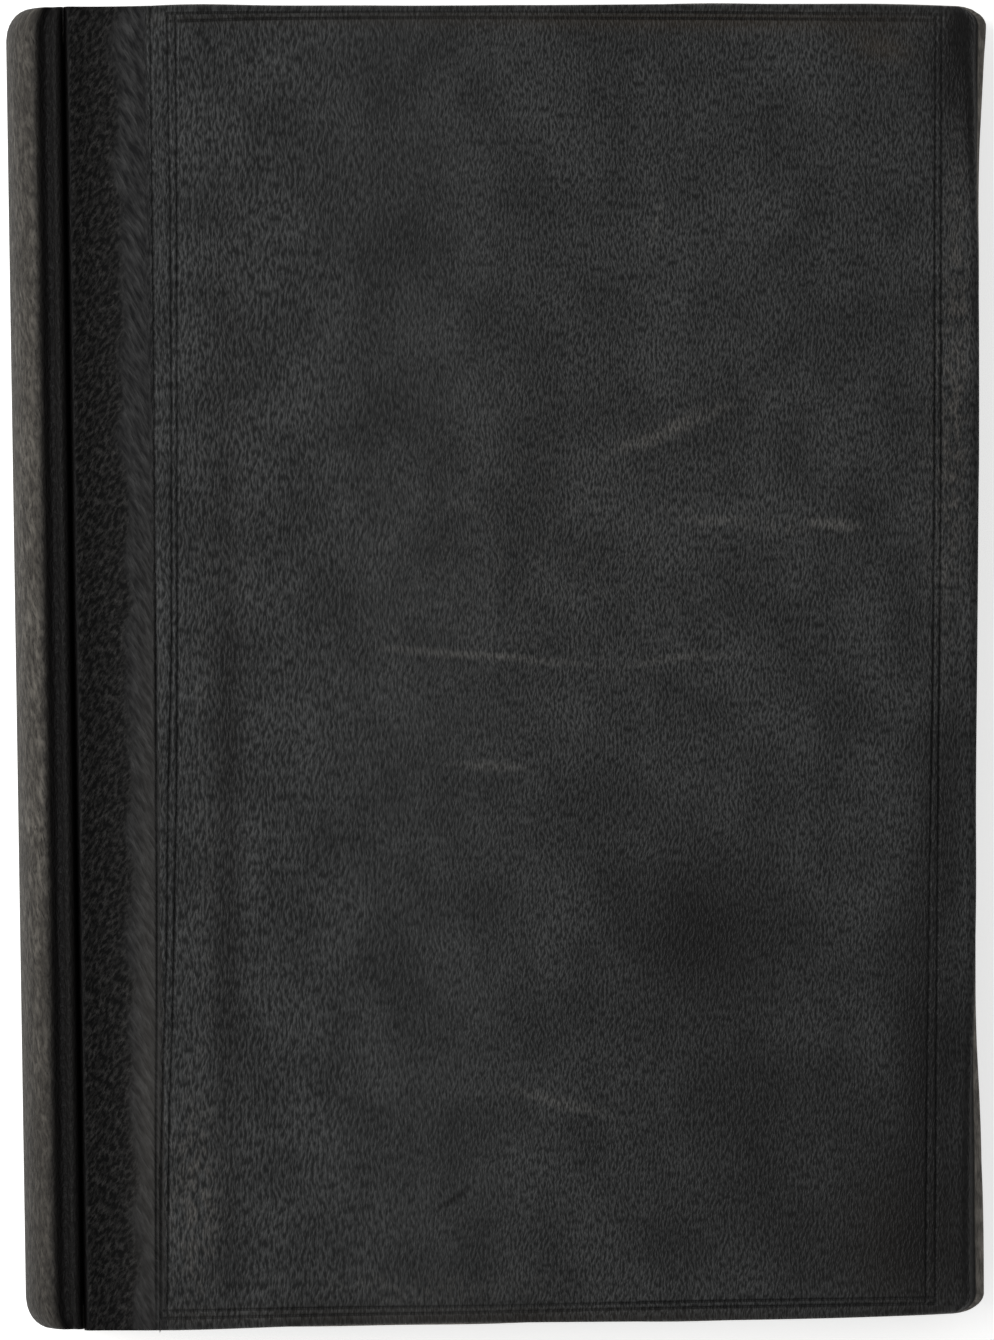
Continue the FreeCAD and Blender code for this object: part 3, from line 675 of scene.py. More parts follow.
def add_cover(side, aged):
    points, faces, turned, flat = cover_skin(aged)
    masks = leather_masks(points, turned, aged)
    in_joint = (points[:, 0] - joint_at(points[:, 1]) < JOINT_SKIN) & (turned < 0.3)
    if side == "back":
        points, faces = turned_over(points, faces)
    piece = make_piece(f"{side}_cover_leather", points, faces, masks, flat)
    slots = [int(in_joint[list(face)].all()) for face in faces]
    piece.data.polygons.foreach_set("material_index", slots)
    print(side, "leather spans", points.min(0).round(2), points.max(0).round(2))
    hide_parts(f"{side}_leather")
    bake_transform(piece)
    return piece


front_cover, back_cover = [add_cover(side, aged) for side, aged in AGED.items()]

# %% [markdown]
# ## The spine's leather
#
# The back of the book is one strip of leather over a stiff inlay, rounded with the leaves, with a
# cap drawn over the band at each end. It is made as a section carried along the book's length. Each
# point of the section runs a closed path: along the outside, over the end, across the cap and back
# along the inside. That gives the leather its thickness and the cap its edge with one grid.

# %% The spine's section
SPINE_OUTSIDE = [(0.14, 12.55), (-0.2, 12.9), (-0.36, 13.5), (-0.5, 14.3), (-0.8, 14.95),
                 (-1.3, 15.2), (-1.8, 15.12), (-2.3, 14.55), (-3.0, 14.2), (-3.7, 14.45),
                 (-4.3, 14.85), (-4.9, 14.75), (-5.7, 14.2), (-6.6, 13.2), (-7.4, 11.9),
                 (-8.1, 10.2), (-8.7, 8.0), (-9.2, 5.0), (-9.45, 2.4)]
SPINE_ENDS = 102.4
CAP_WALL = 1.2
CAP_RADIUS = 4.8
PLAN_SCALE = 13.0
CAP_FOOT, CAP_RISE, CAP_HALF = 1.2, 4.3, 13.0
SPINE_LEATHER = 0.9
SHOULDER_RADIUS, SHOULDER_PULL = 1.3, 0.035
BODY_END = SPINE_ENDS - 3.2


def rounded_path(corners, count):
    """Points along a smooth path through the corners."""
    corners = np.array(corners, float)
    along = np.concatenate([[0], np.cumsum(np.hypot(*np.diff(corners, axis=0).T))])
    at = np.linspace(0, along[-1], count)
    return np.stack([smooth_curve(zip(along, corners[:, k]))(at) for k in (0, 1)], 1)


def spine_sections():
    """Outer, inner and cap sections, each as (u, w) points from the back joint to the front one."""
    half = SPINE_OUTSIDE + [(-9.52, 0.0)]
    whole = half + [(u, -w) for u, w in half[-2::-1]]
    outer = rounded_path(whole, 90)
    slope = np.gradient(outer, axis=0)
    slope /= np.hypot(*slope.T)[:, None]
    inner = outer + np.stack([-slope[:, 1], slope[:, 0]], 1) * SPINE_LEATHER
    turn = np.linspace(-1, 1, len(outer))
    cap = np.stack([-CAP_FOOT - CAP_RISE * (1 - turn ** 2), -CAP_HALF * turn], 1)
    return outer, inner, cap


def book_place(u, y, w):
    """From the book's own leaning frame to the row's frame."""
    lean = math.atan(LEAN)
    x = JOINT_X + u * math.cos(lean) - y * math.sin(lean)
    return x, u * math.sin(lean) + y * math.cos(lean), MIDDLE + w


outer, inner, cap = spine_sections()
print("spine stands out", round(-outer[:, 0].min(), 2), "mm past the joint")

# %% The spine as one grid of closed paths
def spine_leather():
    body = np.linspace(-BODY_END, BODY_END, 150)
    nose = SPINE_ENDS - np.array([0.0, 0.12, 0.4, 0.85, 1.5, 2.3])
    stations_y = np.concatenate([-nose, body, nose[::-1]])
    loops = []
    for y in stations_y:
        from_end = SPINE_ENDS - abs(y)
        shrink = corner_cut(np.array(from_end), CAP_RADIUS)
        shoulder = corner_cut(np.array(from_end), SHOULDER_RADIUS)
        u = outer[:, 0] * (1 - shrink / PLAN_SCALE)
        w = outer[:, 1] * (1 - shoulder * SHOULDER_PULL)
        loops.append((u, y, w))
    head = float(stations_y[-1])

    def capped(end, share, y):
        u, _, w = loops[end]
        return mix(u, cap[:, 0], share), y, mix(w, cap[:, 1], share)

    path = [capped(0, 1.0, -head), capped(0, 0.5, -head)] + loops
    path += [capped(-1, 0.5, head), capped(-1, 1.0, head)]
    inside = []
    for k, (u, y, w) in enumerate(path):
        deep = np.clip(y, -head + CAP_WALL, head - CAP_WALL)
        if k == 0 or k == len(path) - 1:
            inside.append((u, deep, w))
        else:
            narrow = 1 - corner_cut(np.array(SPINE_ENDS - abs(deep)), CAP_RADIUS) / PLAN_SCALE
            apart = 0.002 * (k - len(path) / 2) * (abs(y) > head - CAP_WALL)
            inside.append((inner[:, 0] * narrow, deep + apart, inner[:, 1]))
    loop = path + inside[::-1]
    table = np.array([np.stack(book_place(u + 0 * w, y + 0 * w, w), 1) for u, y, w in loop])
    count, wide = table.shape[:2]
    return table.reshape(-1, 3), closed_strip(count, wide, flip=True), (count, wide)


def spine_masks(points, shape):
    """Faded back with painted highlight, painted shade in hollow and crease, by place on section.
    """
    section = np.tile(outer, (shape[0], 1))
    u = section[:, 0]
    # Pale from fading and wear, with a painted highlight on the slopes that face the lamp.
    faded = ease(-u, 3.5, 5.8)
    # Painted shade in the hollow beside the ridge.
    hollow = ease(-u, 1.9, 2.6) * (1 - ease(-u, 3.4, 5.4))
    # Painted shade: the crease at the joint and the inner side are painted black.
    crease = 1 - ease(-u, 0.5, 1.1)
    inside = np.repeat(np.arange(shape[0]) >= shape[0] // 2, shape[1])
    return {"faded": faded * ~inside, "hollow": hollow * ~inside,
            "crease": np.maximum(crease, inside)}


spine_points, spine_faces, spine_shape = spine_leather()
section_way = np.concatenate([[0], np.cumsum(np.hypot(*np.diff(outer, axis=0).T))])
spine_flat = np.stack([np.tile(section_way, spine_shape[0]), spine_points[:, 1]], 1)
spine = make_piece("spine_back", spine_points, spine_faces, spine_masks(spine_points, spine_shape),
                   spine_flat)
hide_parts("spine_leather")
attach(spine, "book_block")

# %% [markdown]
# ## The boards
#
# Under the leather lies a stiff grey board, crushed thinner at the bent corner. The leather hides
# it, but the skin needs something to lie on when the corner bends, so the board is a slab whose
# upper face follows the leather's inner face.

# %% Board slabs
BOARD_BOTTOM = 29.23
BOARD_ROOM = 0.02
BOARD_INSET = 0.05
BOARD_FROM = 12.1


def slab(x, y, top, bottom):
    """A closed piece over a table of x and y, between two heights."""
    upper = np.arange(x.size).reshape(x.shape)
    lower = upper + x.size
    ring = border(upper)
    side = np.stack([np.append(ring, ring[0]), np.append(ring, ring[0]) + x.size])
    points = np.concatenate([np.stack([x.ravel(), y.ravel(), (top + 0 * x).ravel()], 1),
                             np.stack([x.ravel(), y.ravel(), (bottom + 0 * x).ravel()], 1)])
    return points, grid_faces(upper) + grid_faces(lower, flip=True) + grid_faces(side, flip=True)


def add_board(side, aged):
    inset = steady(LEATHER_DOUBLE + BOARD_INSET)
    x, y = coarse_plan(inset, inset)
    first = COARSE_U.index(BOARD_FROM)
    x, y = x[:, first:], y[:, first:]
    points, faces = slab(x, y, under_leather(x, y, aged) - BOARD_ROOM, BOARD_BOTTOM)
    if side == "back":
        points, faces = turned_over(points, faces)
    piece = make_piece(f"{side}_board_slab", points, faces, smooth=False)
    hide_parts(f"{side}_board")
    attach(piece, f"{side}_cover")
    return piece


boards = [add_board(side, aged) for side, aged in AGED.items()]

# %% [markdown]
# ## The leaves
#
# The text block is folded sheets, sewn and then trimmed, and rounded at the back so that the fore
# edge is hollow. A solid block with lines painted on it looks like wood from the side. Here each
# leaf is a thin slab of its own, and age has moved its edges by a tenth of a millimetre or two.

# %% Leaves
LEAVES = 96
LEAF_HALF = 12.25
LEAF_HEAD, LEAF_TAIL = 97.45, -98.85
BACK_RISE, SHOULDER_RISE, SHOULDER_HALF = 6.75, 2.4, 13.2
FORE_MIDDLE, FORE_HOLLOW = 130.5, 3.5
IN_SECTION = 8
LEAF_GAP, SECTION_GAP = 0.03, 0.07


def back_of_leaves(w):
    """The rounded back: an arc through its middle and the two shoulders."""
    rise = BACK_RISE - SHOULDER_RISE
    radius = (rise ** 2 + SHOULDER_HALF ** 2) / (2 * rise)
    return -BACK_RISE + radius - np.sqrt(radius ** 2 - w ** 2)


def fore_of_leaves(w):
    return FORE_MIDDLE + FORE_HOLLOW * (w / LEAF_HALF) ** 2


def leaf_outline(w, draw):
    """One leaf's edge, once round, as u and y. Its corners are a little soft."""
    fore = fore_of_leaves(w) + draw.normal(0, 0.10)
    back = back_of_leaves(w) + 0.1 + 0.12 * (draw.random() < 0.2)
    head, tail = LEAF_HEAD - abs(draw.normal(0, 0.10)), LEAF_TAIL + abs(draw.normal(0, 0.10))
    along = np.linspace(tail + 0.5, head - 0.5, 26)
    across = np.linspace(back + 0.2, fore - 0.5, 14)
    dent = 0.06 * np.sin(along / draw.uniform(9, 22) + draw.uniform(0, 6))
    edge = [np.stack([across, tail + 0.05 * np.sin(across / 13 + draw.uniform(0, 6))], 1),
            np.stack([fore + dent, along], 1),
            np.stack([across[::-1], head + 0.05 * np.sin(across / 11 + draw.uniform(0, 6))], 1),
            np.array([[back, head - 0.4], [back, tail + 0.4]])]
    return np.concatenate(edge)


def add_leaves():
    draw = np.random.default_rng(7)
    points, faces = [], []
    step = 2 * LEAF_HALF / LEAVES
    for leaf in range(LEAVES):
        low = -LEAF_HALF + leaf * step
        outline = leaf_outline(low + step / 2, draw)
        count = len(outline)
        start = 2 * count * leaf
        gap = LEAF_GAP if leaf % IN_SECTION else SECTION_GAP
        for w in (low + gap / 2, low + step - gap / 2):
            x, y, z = book_place(outline[:, 0], outline[:, 1], w + 0 * outline[:, 0])
            points.append(np.stack([x, y, z], 1))
        faces.append(list(range(start + count - 1, start - 1, -1)))
        faces.append(list(range(start + count, start + 2 * count)))
        for k in range(count):
            after = (k + 1) % count
            faces.append([start + k, start + after, start + count + after, start + count + k])
    return make_piece("leaves", np.concatenate(points), faces, smooth=False)


leaves = add_leaves()
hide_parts("text_block")
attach(leaves, "book_block")

# %% [markdown]
# ## The endpapers
#
# An endpaper is one sheet folded in half. One half is pasted down inside the board and the other
# is free, as the first leaf. It crosses the joint, so it is one thin piece that bends there: its
# section runs along the free half, round the fold and back along the pasted half.

# %% Endpapers
PAPER = 0.15
FREE_LEVEL, PASTED_LEVEL = 28.33, 28.775
PASTED_HALF = 96.9
FREE_BELOW = 28.5
FREE_FORE, PASTED_FORE = 70.6, 70.0
FOLD_FROM, FOLD_TO = 28.42, 28.68


def endpaper_section():
    """Stations along the folded sheet: u of the sheet, height, share from free to pasted."""
    free = [(u, FREE_LEVEL, 0.0) for u in np.linspace(133.9, 1.4, 46)]
    turns = np.linspace(-90, 90, 15)
    radius = (PASTED_LEVEL - FREE_LEVEL) / 2
    fold = [(1.1 - 0.55 * math.cos(math.radians(t)),
             FREE_LEVEL + radius * (1 + math.sin(math.radians(t))), 0.5 + t / 180) for t in turns]
    pasted = [(u, PASTED_LEVEL, 1.0) for u in np.linspace(1.4, 134.9, 46)]
    return np.array(free + fold + pasted)


def add_endpaper(side):
    section = endpaper_section()
    tangent = np.gradient(section[:, :2], axis=0)
    tangent /= np.hypot(*tangent.T)[:, None]
    normal = np.stack([-tangent[:, 1], tangent[:, 0]], 1) * PAPER / 2
    rows = np.linspace(0, 1, 40)
    sheets = []
    for sign in (1, -1):
        layer = []
        for (u, z, share), (nu, nz) in zip(section, normal * sign):
            low = mix(LEAF_TAIL, -PASTED_HALF, share)
            high = mix(LEAF_HEAD, PASTED_HALF, share)
            y = mix(low, high, rows)
            free_x, free_y, _ = book_place(u + nu, y, 0)
            pasted_x = joint_at(y) + u + nu
            x = mix(free_x, pasted_x, share)
            y = mix(free_y, y, share)
            layer.append(np.stack([x, y, np.full(len(rows), z + nz)], 1))
        sheets.append(np.array(layer))
    table = np.concatenate([sheets[0], sheets[1][::-1]])
    fore = np.where(table[..., 2] < FREE_BELOW, FREE_FORE, PASTED_FORE)
    table[..., 0] = np.minimum(table[..., 0], fore)
    faces = closed_strip(*table.shape[:2], flip=False)
    points = table.reshape(-1, 3)
    if side == "back":
        points, faces = turned_over(points, faces)
    piece = make_piece(f"{side}_endpaper", points, faces)
    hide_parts(f"{side}_flyleaf", f"{side}_pastedown")
    low, high = FOLD_FROM, FOLD_TO
    if side == "back":
        low, high = THICK - FOLD_FROM, THICK - FOLD_TO
    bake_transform(piece)
    return piece


endpapers = [add_endpaper("front"), add_endpaper("back")]

# %% [markdown]
# ## The endbands
#
# A band of coloured thread is sewn round a cord at the head and the tail of the leaves. Each turn
# of thread stands up a little, so the bead is a tube along the rounded back whose radius rises and
# falls once for each turn. The colours change with the turns in the material.

# %% Endbands
THREAD = 0.62
BAND_HALF = 10.6
BAND_OVAL = 1.25
BAND_RISE = 0.72
BAND_INSIDE = 0.95
BEAD_RADIUS, THREAD_RISE = 0.62, 0.07


def add_band(name, y_foot, outward_sign):
    w = np.linspace(-BAND_HALF, BAND_HALF, 273)
    u = back_of_leaves(w) + BAND_INSIDE
    around = np.linspace(0, math.tau, 17)[:-1]
    radius = BEAD_RADIUS + THREAD_RISE * np.abs(np.sin(math.pi * w / THREAD))
    radius = radius * np.sqrt(np.clip(1 - (np.abs(w) / (BAND_HALF + 0.02)) ** 12, 0.02, 1))
    ring_u = u[:, None] + radius[:, None] * np.cos(around) * BAND_OVAL
    ring_y = y_foot + outward_sign * (BAND_RISE + radius[:, None] * np.sin(around))
    table = np.stack(book_place(ring_u, ring_y, w[:, None] + 0 * around), -1)
    ids = np.arange(ring_u.size).reshape(ring_u.shape)
    closed = np.hstack([ids, ids[:, :1]])
    faces = grid_faces(closed, flip=outward_sign > 0)
    ends = [ids[0].tolist(), ids[-1].tolist()[::-1]]
    faces += [end if outward_sign > 0 else end[::-1] for end in ends]
    piece = make_piece(f"{name}_sewn", table.reshape(-1, 3), faces)
    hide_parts(name)
    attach(piece, "book_block")
    return piece


bands = [add_band("headband", LEAF_HEAD, 1), add_band("tailband", LEAF_TAIL, -1)]

# %% [markdown]
# ## Colours and a node helper
#
# Colours are written as sRGB hex values, as a paint or a scan gives them, and one function turns
# them to the linear numbers that Blender mixes. Another one adds a node, sets it and links it.

# %% Helpers for materials
def colour(code):
    """Linear colour from an sRGB hex value."""
    parts = [int(code[k:k + 2], 16) / 255 for k in (0, 2, 4)]
    return tuple(p / 12.92 if p <= 0.04045 else ((p + 0.055) / 1.055) ** 2.4 for p in parts) + (1,)


def add(tree, kind, inputs, out=0, **settings):
    """Adds one node and gives the socket that comes out. An input is a value or another socket."""
    made = tree.nodes.new(kind)
    for key, value in settings.items():
        setattr(made, key, value)
    for key, value in inputs.items():
        if isinstance(value, bpy.types.NodeSocket):
            tree.links.new(value, made.inputs[key])
        else:
            made.inputs[key].default_value = value
    return made.outputs[out]


def new_finish(name, roughness, ior, level=0.5, sheen=0.0):
    """A material with its shader's constants set. Gives the material, its nodes and the shader."""
    material = bpy.data.materials.new(name)
    material.use_nodes = True
    tree = material.node_tree
    shader = tree.nodes["Principled BSDF"]
    shader.inputs["Roughness"].default_value = roughness
    shader.inputs["IOR"].default_value = ior
    shader.inputs["Specular IOR Level"].default_value = level
    shader.inputs["Sheen Weight"].default_value = sheen
    return material, tree, shader


def surface(tree, shader, base, height, strength, deep):
    """Joins the colour to the shader, and a bump that is deep metres high."""
    tree.links.new(base, shader.inputs["Base Color"])
    bump = add(tree, "ShaderNodeBump", {"Height": height, "Strength": strength, "Distance": deep})
    tree.links.new(bump, shader.inputs["Normal"])


def cover_with(piece, *materials):
    while len(piece.data.materials) < len(materials):
        piece.data.materials.append(None)
    for slot, material in enumerate(materials):
        piece.data.materials[slot] = material


# %% [markdown]
# ## Black leather, old and dry
#
# The cover is calf or sheep dyed black. The grain side has fine upright creases, a quarter to half
# a millimetre wide, drawn out along the height of the book where the skin was stretched. In the
# joint the skin is crumpled into pebbles. Handling has rubbed the dye off the raised parts and
# left grease and dirt in the low ones. So one grain height drives the bump, the colour and the
# roughness together. Dry leather has an index of refraction of about 1.5 and is rough, about 0.6.
#
# The grain is drawn on the flat hide, in millimetres, before it was turned over the board. Noise
# in two dimensions is enough there, and it renders faster than noise in three.

# %% Grain on the flat hide
GRAIN_WIDE, GRAIN_LONG = 0.36, 1.0
COARSER = 1.3
GRAIN_DEEP, FIBRE_DEEP = 0.0002, 0.0001
PEBBLE_WIDE, PEBBLE_LONG = 0.6, 1.15
WRINKLE_WIDE, WRINKLE_LONG = 0.8, 3.4


def attribute_of(tree, name, output):
    return add(tree, "ShaderNodeAttribute", {}, output, attribute_name=name)


def masks_of(tree, names):
    return {name: attribute_of(tree, name, "Fac") for name in names.split()}


def ranged(tree, value, low, high, top=1.0, foot=0.0):
    """Goes from foot to top while the value goes from low to high."""
    return add(tree, "ShaderNodeMapRange", {"Value": value, "From Min": low, "From Max": high,
                                            "To Min": foot, "To Max": top})


def noise_at(tree, place, scale, detail, distortion=0.0):
    return add(tree, "ShaderNodeTexNoise", {"Vector": place, "Scale": scale, "Detail": detail,
                                            "Distortion": distortion})


def times(tree, first, second):
    return add(tree, "ShaderNodeMath", {0: first, 1: second}, operation="MULTIPLY")


def mixed(tree, factor, low, high):
    """The colour low where the factor is 0, and high where it is 1."""
    return add(tree, "ShaderNodeMix", {0: factor, 6: low, 7: high}, 2, data_type="RGBA")


def painted(tree, base, factor, code):
    """The base colour with one more colour laid over it."""
    return mixed(tree, factor, base, colour(code))


def drifting_place(tree, amount):
    """The place on the hide, pushed about a little so that no grain runs quite straight."""
    hide = attribute_of(tree, "skin", "Vector")
    drift = add(tree, "ShaderNodeTexNoise", {"Vector": hide, "Scale": 0.11, "Detail": 1.0}, "Color",
                noise_dimensions="2D")
    push = add(tree, "ShaderNodeVectorMath", {0: drift, 1: (amount,) * 3, 2: (-amount / 2,) * 3},
               operation="MULTIPLY_ADD")
    return hide, add(tree, "ShaderNodeVectorMath", {0: hide, 1: push}, operation="ADD")


def streaks(tree, place, wide, long, turn, low, high, detail=2.0):
    """Noise drawn out along one direction, 0 to 1."""
    if turn:
        place = add(tree, "ShaderNodeVectorRotate", {"Vector": place, "Angle": math.radians(turn)},
                    rotation_type="Z_AXIS")
    place = add(tree, "ShaderNodeVectorMath", {0: place, 1: (1 / wide, 1 / long, 1)},
                operation="MULTIPLY")
    noise = add(tree, "ShaderNodeTexNoise", {"Vector": place, "Scale": 1.0, "Detail": detail,
                                             "Roughness": 0.58}, noise_dimensions="2D")
    return ranged(tree, noise, low, high)


def skin_finish(tree, shader, height, base, strength, smooth, rough):
    """Joins the grain's height to the gloss and the bump, and the colour to the shader."""
    gloss = ranged(tree, height, 0, 1, smooth, rough)
    tree.links.new(gloss, shader.inputs["Roughness"])
    surface(tree, shader, base, height, strength, GRAIN_DEEP)


# %% [markdown]
# Long use has left a few pale scratches and one dark fold on the front cover. Each is a thin
# ellipse in the colour, placed where the photograph has it, and the pale ones are broken up by
# the grain.

# %% Scratches
SCRATCHES = [(-1.5, 1.9, 22.4, 0.9, -4.5, 0.3), (28.6, 1.4, 12.4, 1.0, 6.4, 0.2),
             (27.4, 36.8, 12.1, 1.6, 22.5, 0.24), (52.6, 22.3, 5.5, 1.1, -6.5, 0.4),
             (34.8, 22.9, 9.3, 1.0, -4, 0.22), (-0.8, -15.3, 7.8, 1.1, -3, 0.25),
             (9.7, -67.1, 10.9, 1.3, -14.5, 0.25), (24.8, 68.7, 5.6, 0.8, 75, 0.2)]
FOLD = (-6.7, -82.3, 4.4, 0.7, 33.7, 0.8)


def scratch(tree, place, x, y, half_long, half_wide, turn, strength):
    """A thin ellipse with soft ends: its strength in the middle, 0 outside."""
    away = add(tree, "ShaderNodeVectorMath", {0: place, 1: (x, y, 0)}, operation="SUBTRACT")
    turned = add(tree, "ShaderNodeVectorRotate", {"Vector": away, "Angle": -math.radians(turn)},
                 rotation_type="Z_AXIS")
    spread = add(tree, "ShaderNodeVectorMath", {0: turned, 1: (1 / half_long, 1 / half_wide, 0)},
                 operation="MULTIPLY")
    length = add(tree, "ShaderNodeVectorMath", {0: spread}, "Value", operation="LENGTH")
    return ranged(tree, length, 1.0, 0.2, strength)


# %% The panel, the border and the flap
def panel_leather(name, scratches):
    material, tree, shader = new_finish(name, 0.6, 1.5, level=0.2)
    mask = masks_of(tree, "rubbed darkened browned rim crease coarse_grain lined")
    hide, place = drifting_place(tree, 1.3)
    fine = streaks(tree, place, GRAIN_WIDE, GRAIN_LONG, 0, 0.30, 0.70, 1.0)
    wide = streaks(tree, place, GRAIN_WIDE * COARSER, GRAIN_LONG * COARSER, 0, 0.3, 0.7, 1.0)
    grain = add(tree, "ShaderNodeMix", {0: mask["coarse_grain"], 2: fine, 3: wide})
    blotch = streaks(tree, hide, 11, 15, 0, 0.32, 0.68)
    low = painted(tree, colour("0b0c0c"), blotch, "131414")
    high = painted(tree, colour("292a2a"), blotch, "393a3a")
    base = mixed(tree, grain, low, high)
    patchy = streaks(tree, hide, 1.6, 2.6, 0, 0.38, 0.68)
    on_tops = ranged(tree, grain, 0.1, 0.9, foot=0.25)
    rub = times(tree, times(tree, mask["rubbed"], patchy), on_tops)
    base = painted(tree, base, rub, "5a5651")
    for mark in scratches:
        seen = times(tree, scratch(tree, place, *mark), on_tops)
        base = painted(tree, base, seen, "6a6864")
    if scratches:
        base = painted(tree, base, scratch(tree, place, *FOLD), "070606")
    base = painted(tree, base, times(tree, mask["browned"], 0.55), "31291f")
    # Dark patches, with painted shade on the bent corners, the fore edge and the flap's wall.
    base = painted(tree, base, times(tree, mask["darkened"], 0.92), "060505")
    base = painted(tree, base, times(tree, mask["lined"], 0.85), "040404")
    # The rim's pale colour is worn leather with a painted highlight.
    rim_wear_and_highlight = ranged(tree, patchy, 0, 1, foot=0.5)
    base = painted(tree, base, times(tree, rim_wear_and_highlight, mask["rim"]), "86817a")
    # Painted shade: the joint's crease and the hidden side are painted black.
    base = painted(tree, base, mask["crease"], "050404")
    skin_finish(tree, shader, grain, base, 0.6, 0.5, 0.74)
    return material


# %% The crumpled joint
def joint_leather():
    material, tree, shader = new_finish("black_calf_joint", 0.6, 1.5, level=0.1)
    mask = masks_of(tree, "joint_rough stretched crease rubbed lined")
    place = drifting_place(tree, 1.0)[1]
    lumps = streaks(tree, place, PEBBLE_WIDE, PEBBLE_LONG, 30, 0.38, 0.68, 3.0)
    knots = streaks(tree, place, PEBBLE_WIDE * 2.6, PEBBLE_LONG * 2.2, 32, 0.36, 0.62)
    crumpled = add(tree, "ShaderNodeMix", {0: 0.45, 2: lumps, 3: times(tree, lumps, knots)})
    wrinkles = streaks(tree, place, WRINKLE_WIDE, WRINKLE_LONG, -30, 0.3, 0.7)
    smooth = streaks(tree, place, GRAIN_WIDE * 1.5, GRAIN_LONG * 1.6, 0, 0.32, 0.68)
    height = add(tree, "ShaderNodeMix", {0: mask["joint_rough"], 2: smooth, 3: crumpled})
    height = add(tree, "ShaderNodeMix", {0: mask["stretched"], 2: height, 3: wrinkles})
    base = painted(tree, colour("121213"), height, "2b2b2b")
    rough_base = painted(tree, colour("040404"), crumpled, "282726")
    base = mixed(tree, mask["joint_rough"], base, rough_base)
    base = painted(tree, base, times(tree, mask["rubbed"], 0.5), "5a5752")
    base = painted(tree, base, times(tree, mask["lined"], 0.85), "040404")
    # Painted shade: the crease beside the spine is painted black.
    base = painted(tree, base, mask["crease"], "050404")
    skin_finish(tree, shader, height, base, 0.9, 0.52, 0.8)
    return material


panel = panel_leather("black_calf_panel", [])
joint_skin = joint_leather()
cover_with(front_cover, panel_leather("black_calf_front", SCRATCHES), joint_skin)
cover_with(back_cover, panel, joint_skin)

# %% [markdown]
# ## The faded back
#
# A book stands on a shelf with its back to the light, so the dye there has gone grey-brown, and
# hands have polished it. That pale colour also holds a painted highlight on the slopes that face
# the lamp. The hollow beside the ridge and the crease are painted black as shade. The same grain
# is used, with colours that fade towards the middle of the back.

# %% Spine leather
DULL_ENDS = [(-25, -80, 0.42), (30, 75, 0.22)]


def back_leather():
    material, tree, shader = new_finish("faded_sheen_calf_back", 0.55, 1.5, level=0.08)
    mask = masks_of(tree, "faded hollow crease")
    hide, place = drifting_place(tree, 1.6)
    grain = streaks(tree, place, 0.5, 1.1, 0, 0.3, 0.7)
    scuffs = streaks(tree, place, 0.9, 2.2, 12, 0.42, 0.7, 3.0)
    patches = streaks(tree, hide, 3.0, 9.0, -8, 0.35, 0.65, 3.0)
    cracks = streaks(tree, place, 0.28, 2.2, 16, 0.36, 0.27)
    base = painted(tree, colour("0a0909"), grain, "131211")
    pale = painted(tree, colour("312e2b"), grain, "45423d")
    pale = painted(tree, pale, times(tree, scuffs, 0.6), "6d6962")
    pale = painted(tree, pale, times(tree, patches, 0.5), "211e1b")
    pale = painted(tree, pale, times(tree, cracks, 0.8), "100e0d")
    along = add(tree, "ShaderNodeSeparateXYZ", {0: hide}, "Y")
    for start, end, strength in DULL_ENDS:
        pale = painted(tree, pale, ranged(tree, along, start, end, strength), "1c1a18")
    # The faded back's pale colour also holds a painted highlight.
    base = mixed(tree, mask["faded"], base, pale)
    # Painted shade: the hollow beside the ridge is painted black.
    base = painted(tree, base, times(tree, mask["hollow"], 0.9), "070606")
    # Painted shade: the crease at the joint and the inner side are painted black.
    base = painted(tree, base, mask["crease"], "040303")
    skin_finish(tree, shader, grain, base, 0.5, 0.45, 0.66)
    return material


cover_with(spine, back_leather())

# %% [markdown]
# ## Paper, board, cloth and thread
#
# The leaves are rag paper, browned at their edges, where dust has settled in fine lines along each
# leaf. The endpapers are the same paper seen flat, with fox marks and a brown shadow near the
# leather. The board is pressed fibre. The mull is a very open cotton cloth and the tapes are
# linen. Their weave is worked out from the thread spacing in millimetres.

# %% Paper
def page_edges():
    material, tree, shader = new_finish("rag_paper_edges", 0.85, 1.45, level=0.25)
    rest = attribute_of(tree, "rest", "Vector")
    sheet = add(tree, "ShaderNodeVectorMath", {0: rest, 1: (0.12, 0.12, 3.9)}, operation="MULTIPLY")
    lines = ranged(tree, noise_at(tree, sheet, 1.0, 2.0), 0.3, 0.7)
    stain = ranged(tree, noise_at(tree, rest, 0.06, 4.0), 0.45, 0.72)
    base = painted(tree, colour("8d7550"), lines, "c4ad82")
    base = painted(tree, base, times(tree, stain, 0.55), "6f5637")
    surface(tree, shader, base, lines, 0.4, FIBRE_DEEP)
    return material


